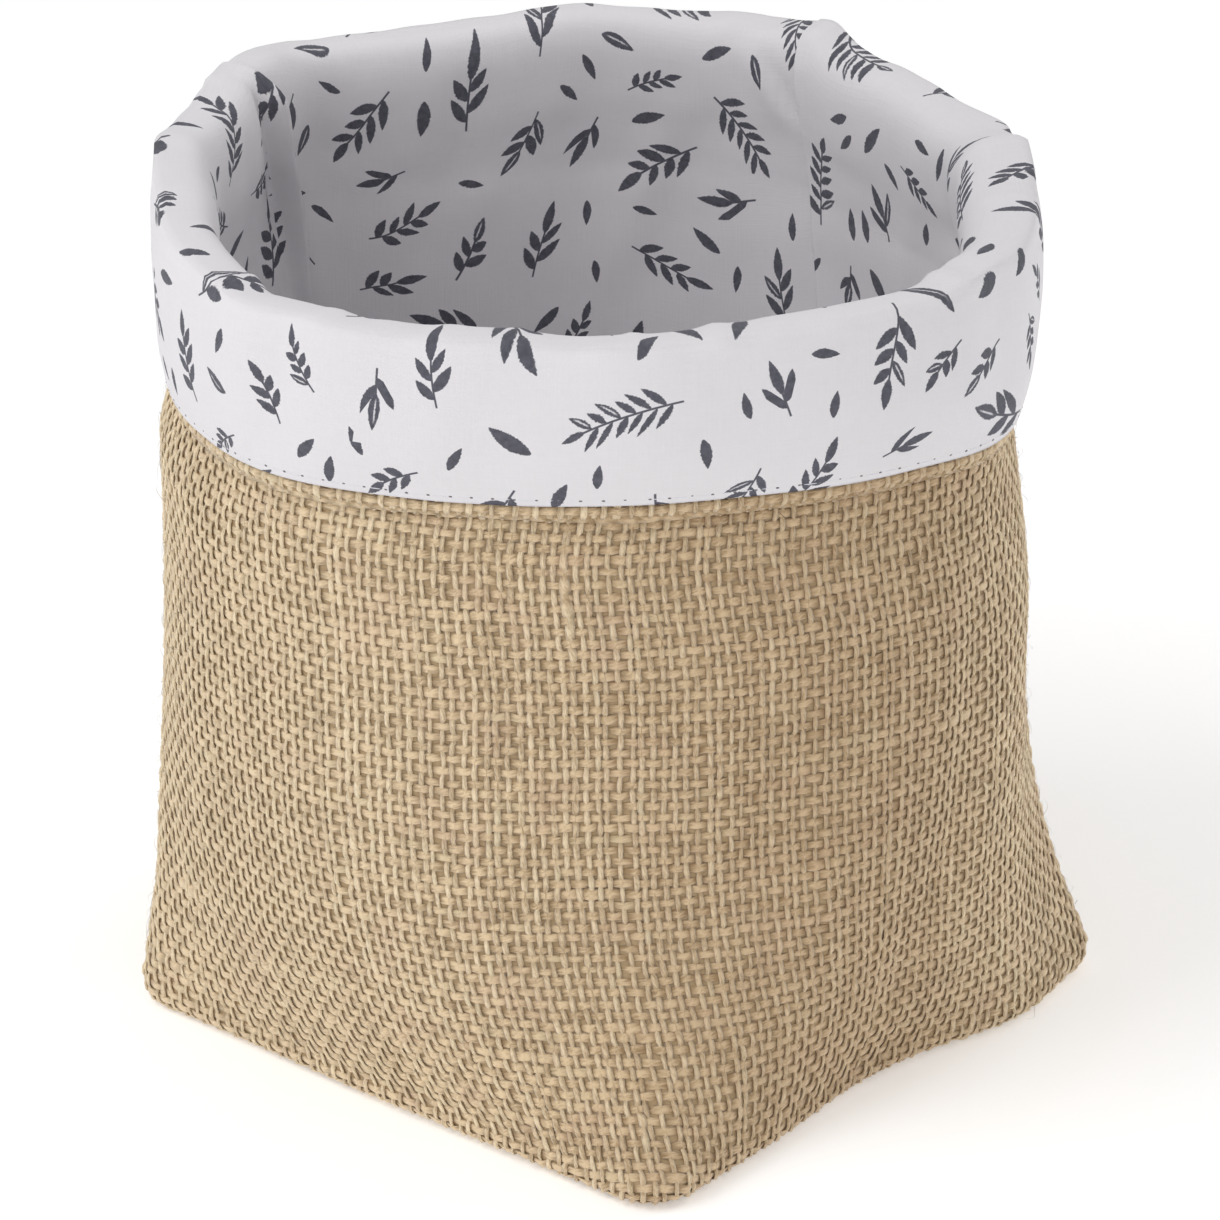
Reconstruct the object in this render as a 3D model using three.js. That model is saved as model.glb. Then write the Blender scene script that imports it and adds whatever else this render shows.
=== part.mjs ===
// A soft storage basket: a square jute bottom and a jute wall, lined with printed cotton.
// The top of both cloths is turned outward as a puffy cuff, so the lining shows on it.
// Millimetres, +Z up. The bottom lies on z = 0 and its sides run along X and Y.
import * as THREE from 'three';

// Driving sizes of the cloth
const BASE_SIDE = 148;
const BASE_CORNER_RADIUS = 10;
const JUTE_THICKNESS = 1.6;
const COTTON_THICKNESS = 1.0;
const CLEARANCE = 0.4;
// The bottoms stop this far inside the end of the wall's foot, whose edge isn't quite upright
const BOTTOM_INSET = 0.65;

// Below this height the wall stands straight on the base outline
const TOE_HEIGHT = 6;

// The cuff: how far its jute stands off the wall at the hem, and how far its rolled edge shows below
const CUFF_STAND_OFF = JUTE_THICKNESS + 0.6;
const EDGE_SHOWS = 3.2;
const EDGE_BEAD = 0.7;
// The share of the cuff's height over which its dents and ridges grow from nothing at the hem
const CUFF_FOLDS_GROW = 0.4;

// The overlap where one lining piece is sewn over the other, and how gently it lifts there
const LIP_WIDTH = 3.2;
const UNDER_WIDTH = 2.6;
const LIFT_LENGTH = 7;

const JUTE_COLOUR = 0xc3a97e;
const COTTON_COLOUR = 0xe3e3e8;
const JUTE_ROUGHNESS = 0.95;
const COTTON_ROUGHNESS = 0.85;

const FULL_TURN = 360;

function table(columns, values) {
  return values.map((row) => Object.fromEntries(columns.map((column, k) => [column, row[k]])));
}

// Sections round the basket, by angle from +X. All but the angle are in millimetres.
// foot: how far the base outline strays from the square; settle: rise over which the wall leaves it;
// body: reach of the wall; draw: how far below the hem it draws in; neck: its reach at the hem;
// hem: height of the hem; lean: how far the wall leans in above it; puff: how far the cuff stands out;
// top: height of the fold.
const SECTIONS = table(
  ['at', 'foot', 'settle', 'body', 'draw', 'neck', 'hem', 'lean', 'puff', 'top'],
  [
    [-170, 0.0, 80, 91.5, 20, 91.0, 146.0, 4.0, 2.0, 180.5],
    [-140, -2.5, 86, 89.6, 16, 84.5, 142.0, 4.5, 2.4, 179.0],
    [-115, -1.0, 80, 89.5, 22, 85.5, 141.0, 4.0, 2.5, 176.0],
    [-98, 0.0, 70, 86.0, 28, 84.5, 141.0, 3.5, 2.5, 174.0],
    [-75, 0.0, 60, 79.5, 30, 75.5, 140.5, 3.0, 3.0, 172.7],
    [-50, -0.5, 42, 75.0, 30, 71.5, 141.0, 3.0, 3.0, 173.0],
    [-25, -1.0, 60, 77.5, 34, 72.5, 141.5, 3.0, 3.0, 174.0],
    [-5, -3.0, 75, 82.0, 40, 78.5, 141.5, 4.0, 3.5, 175.0],
    [12, -1.0, 80, 85.5, 46, 82.5, 140.0, 6.0, 3.0, 176.5],
    [28, 4.8, 80, 84.0, 50, 79.5, 140.5, 7.3, 2.8, 177.5],
    [45, -0.5, 80, 83.0, 50, 78.5, 143.0, 7.2, 2.8, 178.5],
    [62, 1.0, 78, 82.0, 40, 78.2, 145.5, 5.0, 2.3, 179.0],
    [82, 0.0, 70, 80.0, 30, 76.5, 148.0, 4.0, 1.2, 180.0],
    [104, 0.0, 65, 84.0, 30, 83.0, 150.0, 3.5, 1.2, 182.5],
    [132, 0.0, 50, 84.0, 30, 83.0, 151.0, 3.0, 1.2, 182.5],
    [155, 0.0, 65, 87.0, 30, 84.5, 150.0, 3.0, 1.2, 179.5],
    [173, 0.0, 75, 92.0, 26, 92.5, 149.0, 3.5, 1.5, 181.5],
  ],
);

// Folds of the wall: a soft trough or ridge from one height to another, leaning from angle to angle
const WALL_FOLDS = table(
  ['low_at', 'high_at', 'low', 'high', 'width', 'depth'],
  [
    [-2, 13, 18, 150, 9, -2.2],
    [22, 27, 20, 150, 8, 1.0],
    [-69, -69, 118, 146, 6, -1.3],
    [-52, -60, 60, 130, 16, -0.8],
    [-112, -104, 40, 150, 14, -1.0],
    [-150, -128, 30, 120, 16, 1.0],
    [-20, -12, 24, 96, 12, 0.9],
    [118, 122, 30, 140, 15, -1.6],
    [80, 66, 10, 120, 12, -1.4],
    [-178, -160, 12, 110, 13, -1.4],
  ],
);

// Dents and ridges of the cuff: angle at the hem and at the fold, width, and depth outward
const CUFF_FOLDS = table(
  ['hem_at', 'top_at', 'width', 'depth'],
  [
    [-104, -101, 6, 0.9],
    [-97, -95, 5, -1.0],
    [-76, -74, 9, 0.6],
    [-66, -63, 7, -0.5],
    [-40, -44, 16, 0.6],
    [-16, -14, 9, -0.6],
    [1, -2, 7, 1.0],
    [10, 8, 6, -1.1],
    [34, 40, 9, -0.9],
    [60, 61, 6, 1.4],
    [-136, -132, 9, -0.9],
    [-158, -150, 10, 0.8],
    [112, 110, 8, 0.6],
    [140, 143, 10, -0.7],
    [172, 174, 9, 1.2],
  ],
);

// Gentle unevenness all round: waves to a turn, the height of a wave up the wall, its size and phase
const WAVES = table(
  ['turns', 'wavelength', 'size', 'phase'],
  [
    [3, 500, 0.35, 0.4],
    [5, -200, 0.3, 1.9],
    [8, 143, 0.22, 4.1],
    [13, -91, 0.14, 2.6],
  ],
);

// The foot of the wall: how far in from the base outline and how high its middle line runs
const FOOT = table(
  ['inset', 'height'],
  [
    [4.2, JUTE_THICKNESS / 2],
    [1.6, 1.3],
    [0.3, 3.0],
  ],
);
const WALL_HEIGHTS = [7, 14, 25, 40, 60, 82, 104];
// Heights below the hem where the wall draws in
const NECK_DROPS = [24, 13, 5];

// The cuff in section, from the hem up inside and down outside again. inward: share of the lean;
// outward: share of the puff; up: share of the height from the hem to the fold.
const INNER_LEG = table(
  ['inward', 'up'],
  [
    [0.0, 0.0],
    [0.35, 0.26],
    [0.78, 0.5],
    [1.0, 0.76],
    [0.86, 0.91],
    [0.35, 0.99],
  ],
);
const OUTER_LEG = table(
  ['outward', 'up'],
  [
    [0.3, 0.99],
    [0.82, 0.9],
    [1.0, 0.7],
    [1.0, 0.48],
    [0.78, 0.28],
    [0.4, 0.12],
    [0.0, 0.0],
  ],
);
// The rolled edge of the jute under the hem: drop below the hem and extra thickness
const ROLLED_EDGE = table(
  ['drop', 'bead'],
  [
    [0.9, 0.0],
    [1.5, EDGE_BEAD],
    [EDGE_SHOWS - 0.5, EDGE_BEAD],
    [EDGE_SHOWS, 0.0],
  ],
);

// The seams of the lining, by angle at the bottom and at the fold. The mean reach of the wall turns
// a width beside them into an angle.
const SEAM_LEFT = { low: -194, high: -171.5 };
const SEAM_RIGHT = { low: 92, high: 98 };
const MEAN_REACH = 85;

// Upright columns of the grid: angles either side of a base corner, and the stretches clear of the seams
const CORNER_OFFSETS = [0, 2.2, 4.4, 8.5, 14.5, 21.5, 29, 37];
const CORNERS = [-135, -45, 45, 135];
const SIDE_MIDDLES = [-180, -90, 0, 90];
const FRONT_FROM = -160;
const FRONT_TO = 80;
const BACK_FROM = 104;
const BACK_TO = 160;

const radians = (angle) => THREE.MathUtils.degToRad(angle);
const smooth = (share) => THREE.MathUtils.smoothstep(share, 0, 1);

// The nearest way round from one angle to another
function turnBetween(from, to) {
  return THREE.MathUtils.euclideanModulo(to - from + FULL_TURN / 2, FULL_TURN) - FULL_TURN / 2;
}

// A column of SECTIONS at any angle, on a smooth closed curve through its rows
function section(column, angle) {
  const count = SECTIONS.length;
  const start = SECTIONS[0].at;
  const turn = THREE.MathUtils.euclideanModulo(angle - start, FULL_TURN) + start;
  const before = SECTIONS.findLastIndex((row) => row.at <= turn);
  const at = (k) => SECTIONS[(k + count) % count].at + FULL_TURN * Math.floor(k / count);
  const value = (k) => SECTIONS[(k + count) % count][column];
  const slope = (k) => (value(k + 1) - value(k)) / (at(k + 1) - at(k));
  const tangent = (k) => {
    const behind = at(k) - at(k - 1);
    const ahead = at(k + 1) - at(k);
    return (slope(k - 1) * ahead + slope(k) * behind) / (ahead + behind);
  };
  const span = at(before + 1) - at(before);
  const t = (turn - at(before)) / span;
  const rise = t * t * (3 - 2 * t);
  return value(before) * (1 - rise) + value(before + 1) * rise
    + span * (tangent(before) * t * (1 - t) ** 2 - tangent(before + 1) * t * t * (1 - t));
}

// Reach of the square base outline with its rounded corners
function squareReach(angle) {
  const half = BASE_SIDE / 2;
  const quarter = FULL_TURN / 4;
  const fromSide = Math.abs(THREE.MathUtils.euclideanModulo(angle + quarter / 2, quarter) - quarter / 2);
  const turn = radians(fromSide);
  const straight = half - BASE_CORNER_RADIUS;
  if (turn <= Math.atan2(straight, half)) {
    return half / Math.cos(turn);
  }
  const along = straight * (Math.cos(turn) + Math.sin(turn));
  const across = straight * (Math.cos(turn) - Math.sin(turn));
  return along + Math.sqrt(BASE_CORNER_RADIUS ** 2 - across ** 2);
}

function unevenness(angle, z) {
  return WAVES.reduce((sum, wave) => {
    const climb = (2 * Math.PI * z) / wave.wavelength;
    return sum + wave.size * Math.sin(wave.turns * radians(angle) + climb + wave.phase);
  }, 0);
}

function wallFolds(angle, z, reach) {
  return WALL_FOLDS.reduce((sum, fold) => {
    const share = (z - fold.low) / (fold.high - fold.low);
    if (share <= 0 || share >= 1) {
      return sum;
    }
    const centre = fold.low_at + (fold.high_at - fold.low_at) * Math.sqrt(share);
    const across = (radians(turnBetween(centre, angle)) * reach) / fold.width;
    return sum + fold.depth * Math.exp(-across * across) * Math.sin(Math.PI * Math.sqrt(share));
  }, 0);
}

// Reach of the middle of the jute wall, from the floor to the hem
function wallReach(angle, z) {
  const hem = section('hem', angle);
  const body = section('body', angle);
  const draw = section('draw', angle);
  const foot = squareReach(angle) - JUTE_THICKNESS / 2 + section('foot', angle);
  const risen = Math.max(0, z - TOE_HEIGHT) / section('settle', angle);
  const left = Math.max(0, 1 - risen) ** 2;
  const low = body + (foot - body) * left;
  const drawnIn = smooth((z - hem + draw) / draw);
  const reach = low + (section('neck', angle) - low) * drawnIn;
  return reach + (1 - left) * unevenness(angle, z) + wallFolds(angle, z, reach);
}

function cuffFolds(angle, up, reach) {
  return CUFF_FOLDS.reduce((sum, fold) => {
    const centre = fold.hem_at + (fold.top_at - fold.hem_at) * up;
    const across = (radians(turnBetween(centre, angle)) * reach) / fold.width;
    return sum + fold.depth * Math.exp(-across * across) * smooth(up / CUFF_FOLDS_GROW);
  }, 0);
}

// The middle of the jute at one angle: its way from the floor, over the fold and down to its edge
function profile(angle) {
  const hem = section('hem', angle);
  const rise = section('top', angle) - hem;
  const neck = wallReach(angle, hem);
  const points = FOOT.map(({ inset, height }) => ({ reach: wallReach(angle, height) - inset, z: height }));
  for (const z of [...WALL_HEIGHTS, ...NECK_DROPS.map((drop) => hem - drop)]) {
    points.push({ reach: wallReach(angle, z), z });
  }
  for (const { inward, up } of INNER_LEG) {
    const fold = cuffFolds(angle, up, neck);
    points.push({ reach: neck - section('lean', angle) * inward + fold, z: hem + rise * up });
  }
  for (const { outward, up } of OUTER_LEG) {
    const fold = cuffFolds(angle, up, neck);
    const puff = section('puff', angle) * outward;
    points.push({ reach: neck + CUFF_STAND_OFF + puff + fold, z: hem + rise * up });
  }
  for (const { drop } of ROLLED_EDGE) {
    points.push({ reach: wallReach(angle, hem - drop) + CUFF_STAND_OFF, z: hem - drop });
  }
  return points;
}

const FOLD_STEP = FOOT.length + WALL_HEIGHTS.length + NECK_DROPS.length + INNER_LEG.length;
const HEM_STEP = FOLD_STEP + OUTER_LEG.length - 1;
const LAST_STEP = HEM_STEP + ROLLED_EDGE.length;
const LINING_START = FOOT.length - 1;

const RING = CORNERS.flatMap((corner) => CORNER_OFFSETS.flatMap((offset) => (
  offset === 0 ? [corner] : [corner - offset, corner + offset])))
  .concat(SIDE_MIDDLES)
  .sort((one, other) => one - other);

// The angle of a seam at a step of the profile. It is straight inside and outside the cuff alike.
function seamAt(seam, step) {
  const share = Math.min(step, 2 * FOLD_STEP - step) / FOLD_STEP;
  return seam.low + (seam.high - seam.low) * share;
}

// Columns of the grid all the way round, each a function that gives its angle at a step.
// Beside a seam they run along it, a given number of millimetres away, and elsewhere they stand upright.
const besideSeam = (seam, away) => (step) => seamAt(seam, step) + THREE.MathUtils.radToDeg(away / MEAN_REACH);
const upright = (angle) => () => angle;
const between = (one, other, share) => (step) => one(step) + (other(step) - one(step)) * share;

const leftColumns = [-LIP_WIDTH, UNDER_WIDTH, UNDER_WIDTH + LIFT_LENGTH / 2, UNDER_WIDTH + LIFT_LENGTH]
  .map((away) => besideSeam(SEAM_LEFT, away));
const rightColumns = [UNDER_WIDTH + LIFT_LENGTH, UNDER_WIDTH + LIFT_LENGTH / 2, UNDER_WIDTH, -LIP_WIDTH]
  .map((away) => besideSeam(SEAM_RIGHT, -away));
const frontColumns = RING.filter((angle) => angle > FRONT_FROM && angle < FRONT_TO).map(upright);
const backColumns = RING.filter((angle) => angle > BACK_FROM && angle < BACK_TO).map(upright);
const leftAgain = (step) => leftColumns[0](step) + FULL_TURN;
const COLUMNS = [
  ...leftColumns,
  between(leftColumns.at(-1), frontColumns[0], 1 / 2),
  ...frontColumns,
  between(frontColumns.at(-1), rightColumns[0], 1 / 2),
  ...rightColumns,
  ...backColumns,
  between(backColumns.at(-1), leftAgain, 1 / 3),
  between(backColumns.at(-1), leftAgain, 2 / 3),
];

// Middle points of the jute, in rows up the profile, and the directions square to it towards the lining
const POINTS = [];
for (let step = 0; step <= LAST_STEP; step += 1) {
  POINTS.push(COLUMNS.map((column) => {
    const angle = column(step);
    const { reach, z } = profile(angle)[step];
    return new THREE.Vector3(reach * Math.cos(radians(angle)), reach * Math.sin(radians(angle)), z);
  }));
}
const NORMALS = POINTS.map((row, step) => row.map((_, column) => {
  const right = row[(column + 1) % row.length];
  const left = row[(column + row.length - 1) % row.length];
  const round = new THREE.Vector3().subVectors(right, left);
  const above = POINTS[Math.min(step + 1, LAST_STEP)][column];
  const up = new THREE.Vector3().subVectors(above, POINTS[Math.max(step - 1, 0)][column]);
  return up.cross(round).normalize();
}));

function geometryOf(positions, index) {
  const geometry = new THREE.BufferGeometry();
  geometry.setAttribute('position', new THREE.Float32BufferAttribute(positions, 3));
  geometry.setIndex(index);
  geometry.computeVertexNormals();
  return geometry;
}

// A closed sheet along the jute, from one step to another and over the given columns.
// near and far give how far its two faces lie from the middle of the jute, towards the lining.
function sheet(firstStep, lastStep, columns, near, far) {
  const closed = columns.length === COLUMNS.length;
  const rows = lastStep - firstStep + 1;
  const count = columns.length;
  const positions = [];
  for (const offset of [near, far]) {
    for (let step = firstStep; step <= lastStep; step += 1) {
      columns.forEach((column, i) => {
        const place = POINTS[step][column].clone().addScaledVector(NORMALS[step][column], offset(step, i));
        positions.push(place.x, place.y, Math.max(place.z, 0));
      });
    }
  }
  const index = [];
  const face = (a, b, c, d) => index.push(a, b, c, a, c, d);
  const nearAt = (j, i) => j * count + (i % count);
  const farAt = (j, i) => rows * count + nearAt(j, i);
  const spans = closed ? count : count - 1;
  for (let i = 0; i < spans; i += 1) {
    for (let j = 0; j < rows - 1; j += 1) {
      face(nearAt(j, i), nearAt(j, i + 1), nearAt(j + 1, i + 1), nearAt(j + 1, i));
      face(farAt(j, i), farAt(j + 1, i), farAt(j + 1, i + 1), farAt(j, i + 1));
    }
    face(nearAt(0, i), farAt(0, i), farAt(0, i + 1), nearAt(0, i + 1));
    face(nearAt(rows - 1, i), nearAt(rows - 1, i + 1), farAt(rows - 1, i + 1), farAt(rows - 1, i));
  }
  if (!closed) {
    for (let j = 0; j < rows - 1; j += 1) {
      face(nearAt(j, 0), nearAt(j + 1, 0), farAt(j + 1, 0), farAt(j, 0));
      face(nearAt(j, spans), farAt(j, spans), farAt(j + 1, spans), nearAt(j + 1, spans));
    }
  }
  return geometryOf(positions, index);
}

// A flat panel between two heights that fills the foot of the wall, a given way in from its middle line
function panel(inset, low, high) {
  const positions = [0, 0, low, 0, 0, high];
  for (const point of POINTS[0]) {
    const share = 1 - inset / Math.hypot(point.x, point.y);
    positions.push(point.x * share, point.y * share, low, point.x * share, point.y * share, high);
  }
  const index = [];
  COLUMNS.forEach((_, i) => {
    const here = 2 + 2 * i;
    const next = 2 + 2 * ((i + 1) % COLUMNS.length);
    index.push(0, next, here, 1, here + 1, next + 1);
    index.push(here, next, next + 1, here, next + 1, here + 1);
  });
  return geometryOf(positions, index);
}

const ALL_COLUMNS = COLUMNS.map((_, i) => i);
// The back piece reaches under the wrap by the two columns nearest each of its ends
const LAST_RIGHT = COLUMNS.indexOf(rightColumns.at(-1));
const WRAP_COLUMNS = ALL_COLUMNS.slice(0, LAST_RIGHT + 1);
const BACK_COLUMNS = [...ALL_COLUMNS.slice(LAST_RIGHT - 1), 0, 1];

const JUTE_HALF = JUTE_THICKNESS / 2;
const COTTON_NEAR = JUTE_HALF + CLEARANCE;
const COTTON_FAR = COTTON_NEAR + COTTON_THICKNESS;

function juteWall() {
  const bead = (step) => (step > HEM_STEP ? ROLLED_EDGE[step - HEM_STEP - 1].bead : 0);
  return sheet(0, LAST_STEP, ALL_COLUMNS, () => -JUTE_HALF, (step) => JUTE_HALF + bead(step));
}

// The front and sides: one cloth whose two ends lie over the edges of the back piece.
// LIFT gives the share of the rise onto it, column by column from either end.
const LIFT = [1, 1, 0.5];

function liningWrap() {
  const last = WRAP_COLUMNS.length - 1;
  const lift = (i) => (COTTON_THICKNESS + CLEARANCE) * (LIFT[Math.min(i, last - i)] ?? 0);
  return sheet(LINING_START, HEM_STEP, WRAP_COLUMNS,
    (_, i) => COTTON_NEAR + lift(i), (_, i) => COTTON_FAR + lift(i));
}

function liningBack() {
  return sheet(LINING_START, HEM_STEP, BACK_COLUMNS, () => COTTON_NEAR, () => COTTON_FAR);
}

function juteBase() {
  return panel(BOTTOM_INSET, 0, JUTE_THICKNESS);
}

function liningBase() {
  const low = JUTE_THICKNESS + CLEARANCE;
  return panel(BOTTOM_INSET, low, low + COTTON_THICKNESS);
}

function cloth(name, geometry, color, roughness) {
  const mesh = new THREE.Mesh(geometry, new THREE.MeshStandardMaterial({ color, roughness, metalness: 0 }));
  mesh.name = name;
  return mesh;
}

const basket = new THREE.Group();
basket.add(
  cloth('jute_wall', juteWall(), JUTE_COLOUR, JUTE_ROUGHNESS),
  cloth('jute_base', juteBase(), JUTE_COLOUR, JUTE_ROUGHNESS),
  cloth('lining_wrap', liningWrap(), COTTON_COLOUR, COTTON_ROUGHNESS),
  cloth('lining_back', liningBack(), COTTON_COLOUR, COTTON_ROUGHNESS),
  cloth('lining_base', liningBase(), COTTON_COLOUR, COTTON_ROUGHNESS),
);

export default basket;
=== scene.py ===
# A soft storage basket of woven jute, lined with leaf-printed cotton, its top turned out as a cuff.
import math
from functools import partialmethod

import bpy
import numpy as np
from mathutils import Matrix


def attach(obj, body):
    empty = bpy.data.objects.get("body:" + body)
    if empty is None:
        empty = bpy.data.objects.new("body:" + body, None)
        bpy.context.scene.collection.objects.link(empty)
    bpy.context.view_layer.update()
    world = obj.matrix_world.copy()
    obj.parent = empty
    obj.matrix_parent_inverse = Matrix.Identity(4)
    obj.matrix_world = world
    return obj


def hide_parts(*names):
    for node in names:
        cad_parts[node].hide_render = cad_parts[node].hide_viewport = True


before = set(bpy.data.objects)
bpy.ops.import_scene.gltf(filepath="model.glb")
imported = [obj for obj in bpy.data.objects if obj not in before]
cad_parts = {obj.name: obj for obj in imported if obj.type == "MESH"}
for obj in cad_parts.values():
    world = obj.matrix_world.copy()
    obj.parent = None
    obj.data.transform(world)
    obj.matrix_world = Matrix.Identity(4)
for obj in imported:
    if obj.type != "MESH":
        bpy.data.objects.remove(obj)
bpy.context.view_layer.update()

# The jute wall. One strip of plain-woven jute stands all the way round from the bottom seam to the
# fold, and comes down outside again to a rolled edge. It is a thin sheet here, which the yarns of the
# next section lie on; its dark colour is painted shade, seen in the gaps between them. Sizes are
# millimetres, as a maker would take them, and angles are degrees from +X.
MM = 0.001
FULL_TURN = 360.0
BASE_SIDE = 148.0
BASE_CORNER_RADIUS = 10.0
JUTE_THICKNESS = 1.6
TOE_HEIGHT = 6.0
CUFF_STAND_OFF = JUTE_THICKNESS + 0.6
CUFF_FOLDS_GROW = 0.4

# Sections round the basket. foot: how far the base outline strays from the square; settle: rise over
# which the wall leaves it; body: reach of the wall; draw: how far below the hem it draws in; neck: its
# reach there; hem: its height; lean: how far the wall leans in above it; puff: how far the cuff stands
# out; top: height of the fold.
SECTION_COLUMNS = "at foot settle body draw neck hem lean puff top".split()
SECTIONS = np.array([
    [-170, 0.0, 80, 91.5, 20, 91.0, 146.0, 4.0, 2.0, 180.5],
    [-140, -2.5, 86, 89.6, 16, 84.5, 142.0, 4.5, 2.4, 179.0],
    [-115, -1.0, 80, 89.5, 22, 85.5, 141.0, 4.0, 2.5, 176.0],
    [-98, 0.0, 70, 86.0, 28, 84.5, 141.0, 3.5, 2.5, 174.0],
    [-75, 0.0, 60, 79.5, 30, 75.5, 140.5, 3.0, 3.0, 172.7],
    [-50, -0.5, 42, 75.0, 30, 71.5, 141.0, 3.0, 3.0, 173.0],
    [-25, -1.0, 60, 77.5, 34, 72.5, 141.5, 3.0, 3.0, 174.0],
    [-5, -3.0, 75, 82.0, 40, 78.5, 141.5, 4.0, 3.5, 175.0],
    [12, -1.0, 80, 85.5, 46, 82.5, 140.0, 6.0, 3.0, 176.5],
    [28, 4.8, 80, 84.0, 50, 79.5, 140.5, 7.3, 2.8, 177.5],
    [45, -0.5, 80, 83.0, 50, 78.5, 143.0, 7.2, 2.8, 178.5],
    [62, 1.0, 78, 82.0, 40, 78.2, 145.5, 5.0, 2.3, 179.0],
    [82, 0.0, 70, 80.0, 30, 76.5, 148.0, 4.0, 1.2, 180.0],
    [104, 0.0, 65, 84.0, 30, 83.0, 150.0, 3.5, 1.2, 182.5],
    [132, 0.0, 50, 84.0, 30, 83.0, 151.0, 3.0, 1.2, 182.5],
    [155, 0.0, 65, 87.0, 30, 84.5, 150.0, 3.0, 1.2, 179.5],
    [173, 0.0, 75, 92.0, 26, 92.5, 149.0, 3.5, 1.5, 181.5],
])

# Folds of the wall: angle at the low and the high end, height of those ends, width and depth
WALL_FOLDS = [
    (-2, 13, 18, 150, 9, -2.2), (22, 27, 20, 150, 8, 1.0), (-69, -69, 118, 146, 6, -1.3),
    (-52, -60, 60, 130, 16, -0.8), (-112, -104, 40, 150, 14, -1.0), (-150, -128, 30, 120, 16, 1.0),
    (-20, -12, 24, 96, 12, 0.9), (118, 122, 30, 140, 15, -1.6), (80, 66, 10, 120, 12, -1.4),
    (-178, -160, 12, 110, 13, -1.4),
]

# Dents and ridges of the cuff: angle at the hem and at the fold, width and depth
CUFF_FOLDS = [
    (-104, -101, 6, 0.9), (-97, -95, 5, -1.0), (-76, -74, 9, 0.6), (-66, -63, 7, -0.5), (-40, -44, 16, 0.6),
    (-16, -14, 9, -0.6), (1, -2, 7, 1.0), (10, 8, 6, -1.1), (34, 40, 9, -0.9), (60, 61, 6, 1.4),
    (-136, -132, 9, -0.9), (-158, -150, 10, 0.8), (112, 110, 8, 0.6), (140, 143, 10, -0.7),
    (172, 174, 9, 1.2),
]

# Gentle unevenness all round: waves to a turn, height of a wave up the wall, size and phase
WAVES = [(3, 500, 0.35, 0.4), (5, -200, 0.3, 1.9), (8, 143, 0.22, 4.1), (13, -91, 0.14, 2.6)]

# The small peaks and dips of the rim between those sections: angle, rise and reach of the cloth there
RIM = np.array([
    (-180, 0.5, 0.0), (-175, 1.3, 0.0), (-172, 0.6, -0.6), (-168, -0.2, -1.8), (-163, -1.4, -2.2),
    (-157, -1.4, -1.5), (-150, -0.4, -0.3), (-140, 0.0, 1.2), (-128, 0.0, 0.9), (-112, 0.0, 0.0),
    (-66, 0.0, 0.0), (-55, -1.1, 0.0), (-46, -1.1, 0.0), (-32, -0.5, 0.0), (-20, 0.0, 0.0), (30, 0.0, 0.0),
    (42, 0.8, 0.0), (49, 1.8, 0.3), (57, -1.2, -0.6), (66, -1.2, -0.6), (73, -0.3, 0.0), (80, 0.6, 0.0),
    (86, 0.0, 0.0), (93, -0.7, 0.0), (98, 1.0, 0.0), (104, -1.0, 0.0), (110, -1.4, 0.0), (117, -2.5, 0.0),
    (123, -1.8, 0.0), (130, -0.4, 0.0), (137, 0.8, 0.0), (145, 1.1, 0.0), (154, 0.9, 0.0),
    (163, -0.5, 0.0), (171, -2.2, 0.0), (176, -1.3, 0.0),
])
RIM_SOFTNESS, RIM_LENGTH = 1.3, 40.0

# The foot, as inset from the base outline and height. The cuff, as shares of the lean, of the puff and
# of the stand-off, and of the height from the hem to the fold. The rolled edge, as the distance out
# from the wall and the drop below the hem.
FOOT = [(4.2, 0.8), (1.6, 1.3), (0.3, 3.0), (0.0, TOE_HEIGHT)]
CUFF = [
    (0.0, 0.0, 0, 0.0), (0.35, 0.0, 0, 0.26), (0.78, 0.0, 0, 0.5), (1.0, 0.0, 0, 0.76),
    (0.86, 0.0, 0, 0.91), (0.35, 0.0, 0, 0.99), (0.0, 0.3, 1, 0.99), (0.0, 0.82, 1, 0.9),
    (0.0, 1.0, 1, 0.7), (0.0, 1.0, 1, 0.48), (0.0, 0.78, 1, 0.28), (0.0, 0.4, 1, 0.12), (0.0, 0.0, 1, 0.0),
]
ROLLED_EDGE = [(2.2, 0.0), (2.6, 1.4), (2.65, 2.7), (2.25, 3.6), (1.7, 3.2), (1.45, 1.4), (1.4, -3.0)]
WALL_STEPS, CUFF_SPANS = 110, 5


def smooth(share):
    share = np.clip(share, 0, 1)
    return share * share * (3 - 2 * share)


def turn_between(start, end):
    """The nearest way round from one angle to another."""
    return (end - start + FULL_TURN / 2) % FULL_TURN - FULL_TURN / 2


def ridge(angle, centre, reach, width, height):
    """A soft ridge up the cloth at one angle, or a dent where its height is below nothing."""
    return height * np.exp(-(np.radians(turn_between(centre, angle)) * reach / width) ** 2)


def section(column, angle):
    """A column of SECTIONS at any angle, on a smooth closed curve through its rows."""
    at, value = SECTIONS[:, 0], SECTIONS[:, SECTION_COLUMNS.index(column)]
    span = np.diff(np.append(at, at[0] + FULL_TURN))
    slope = np.diff(np.append(value, value[0])) / span
    behind = np.roll(span, 1)
    tangent = (np.roll(slope, 1) * span + slope * behind) / (span + behind)
    turn = (angle - at[0]) % FULL_TURN + at[0]
    k = np.searchsorted(at, turn, side="right") - 1
    ahead = (k + 1) % len(at)
    t = (turn - at[k]) / span[k]
    rise = smooth(t)
    return (value[k] * (1 - rise) + value[ahead] * rise
            + span[k] * (tangent[k] * t * (1 - t) ** 2 - tangent[ahead] * t * t * (1 - t)))


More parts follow.
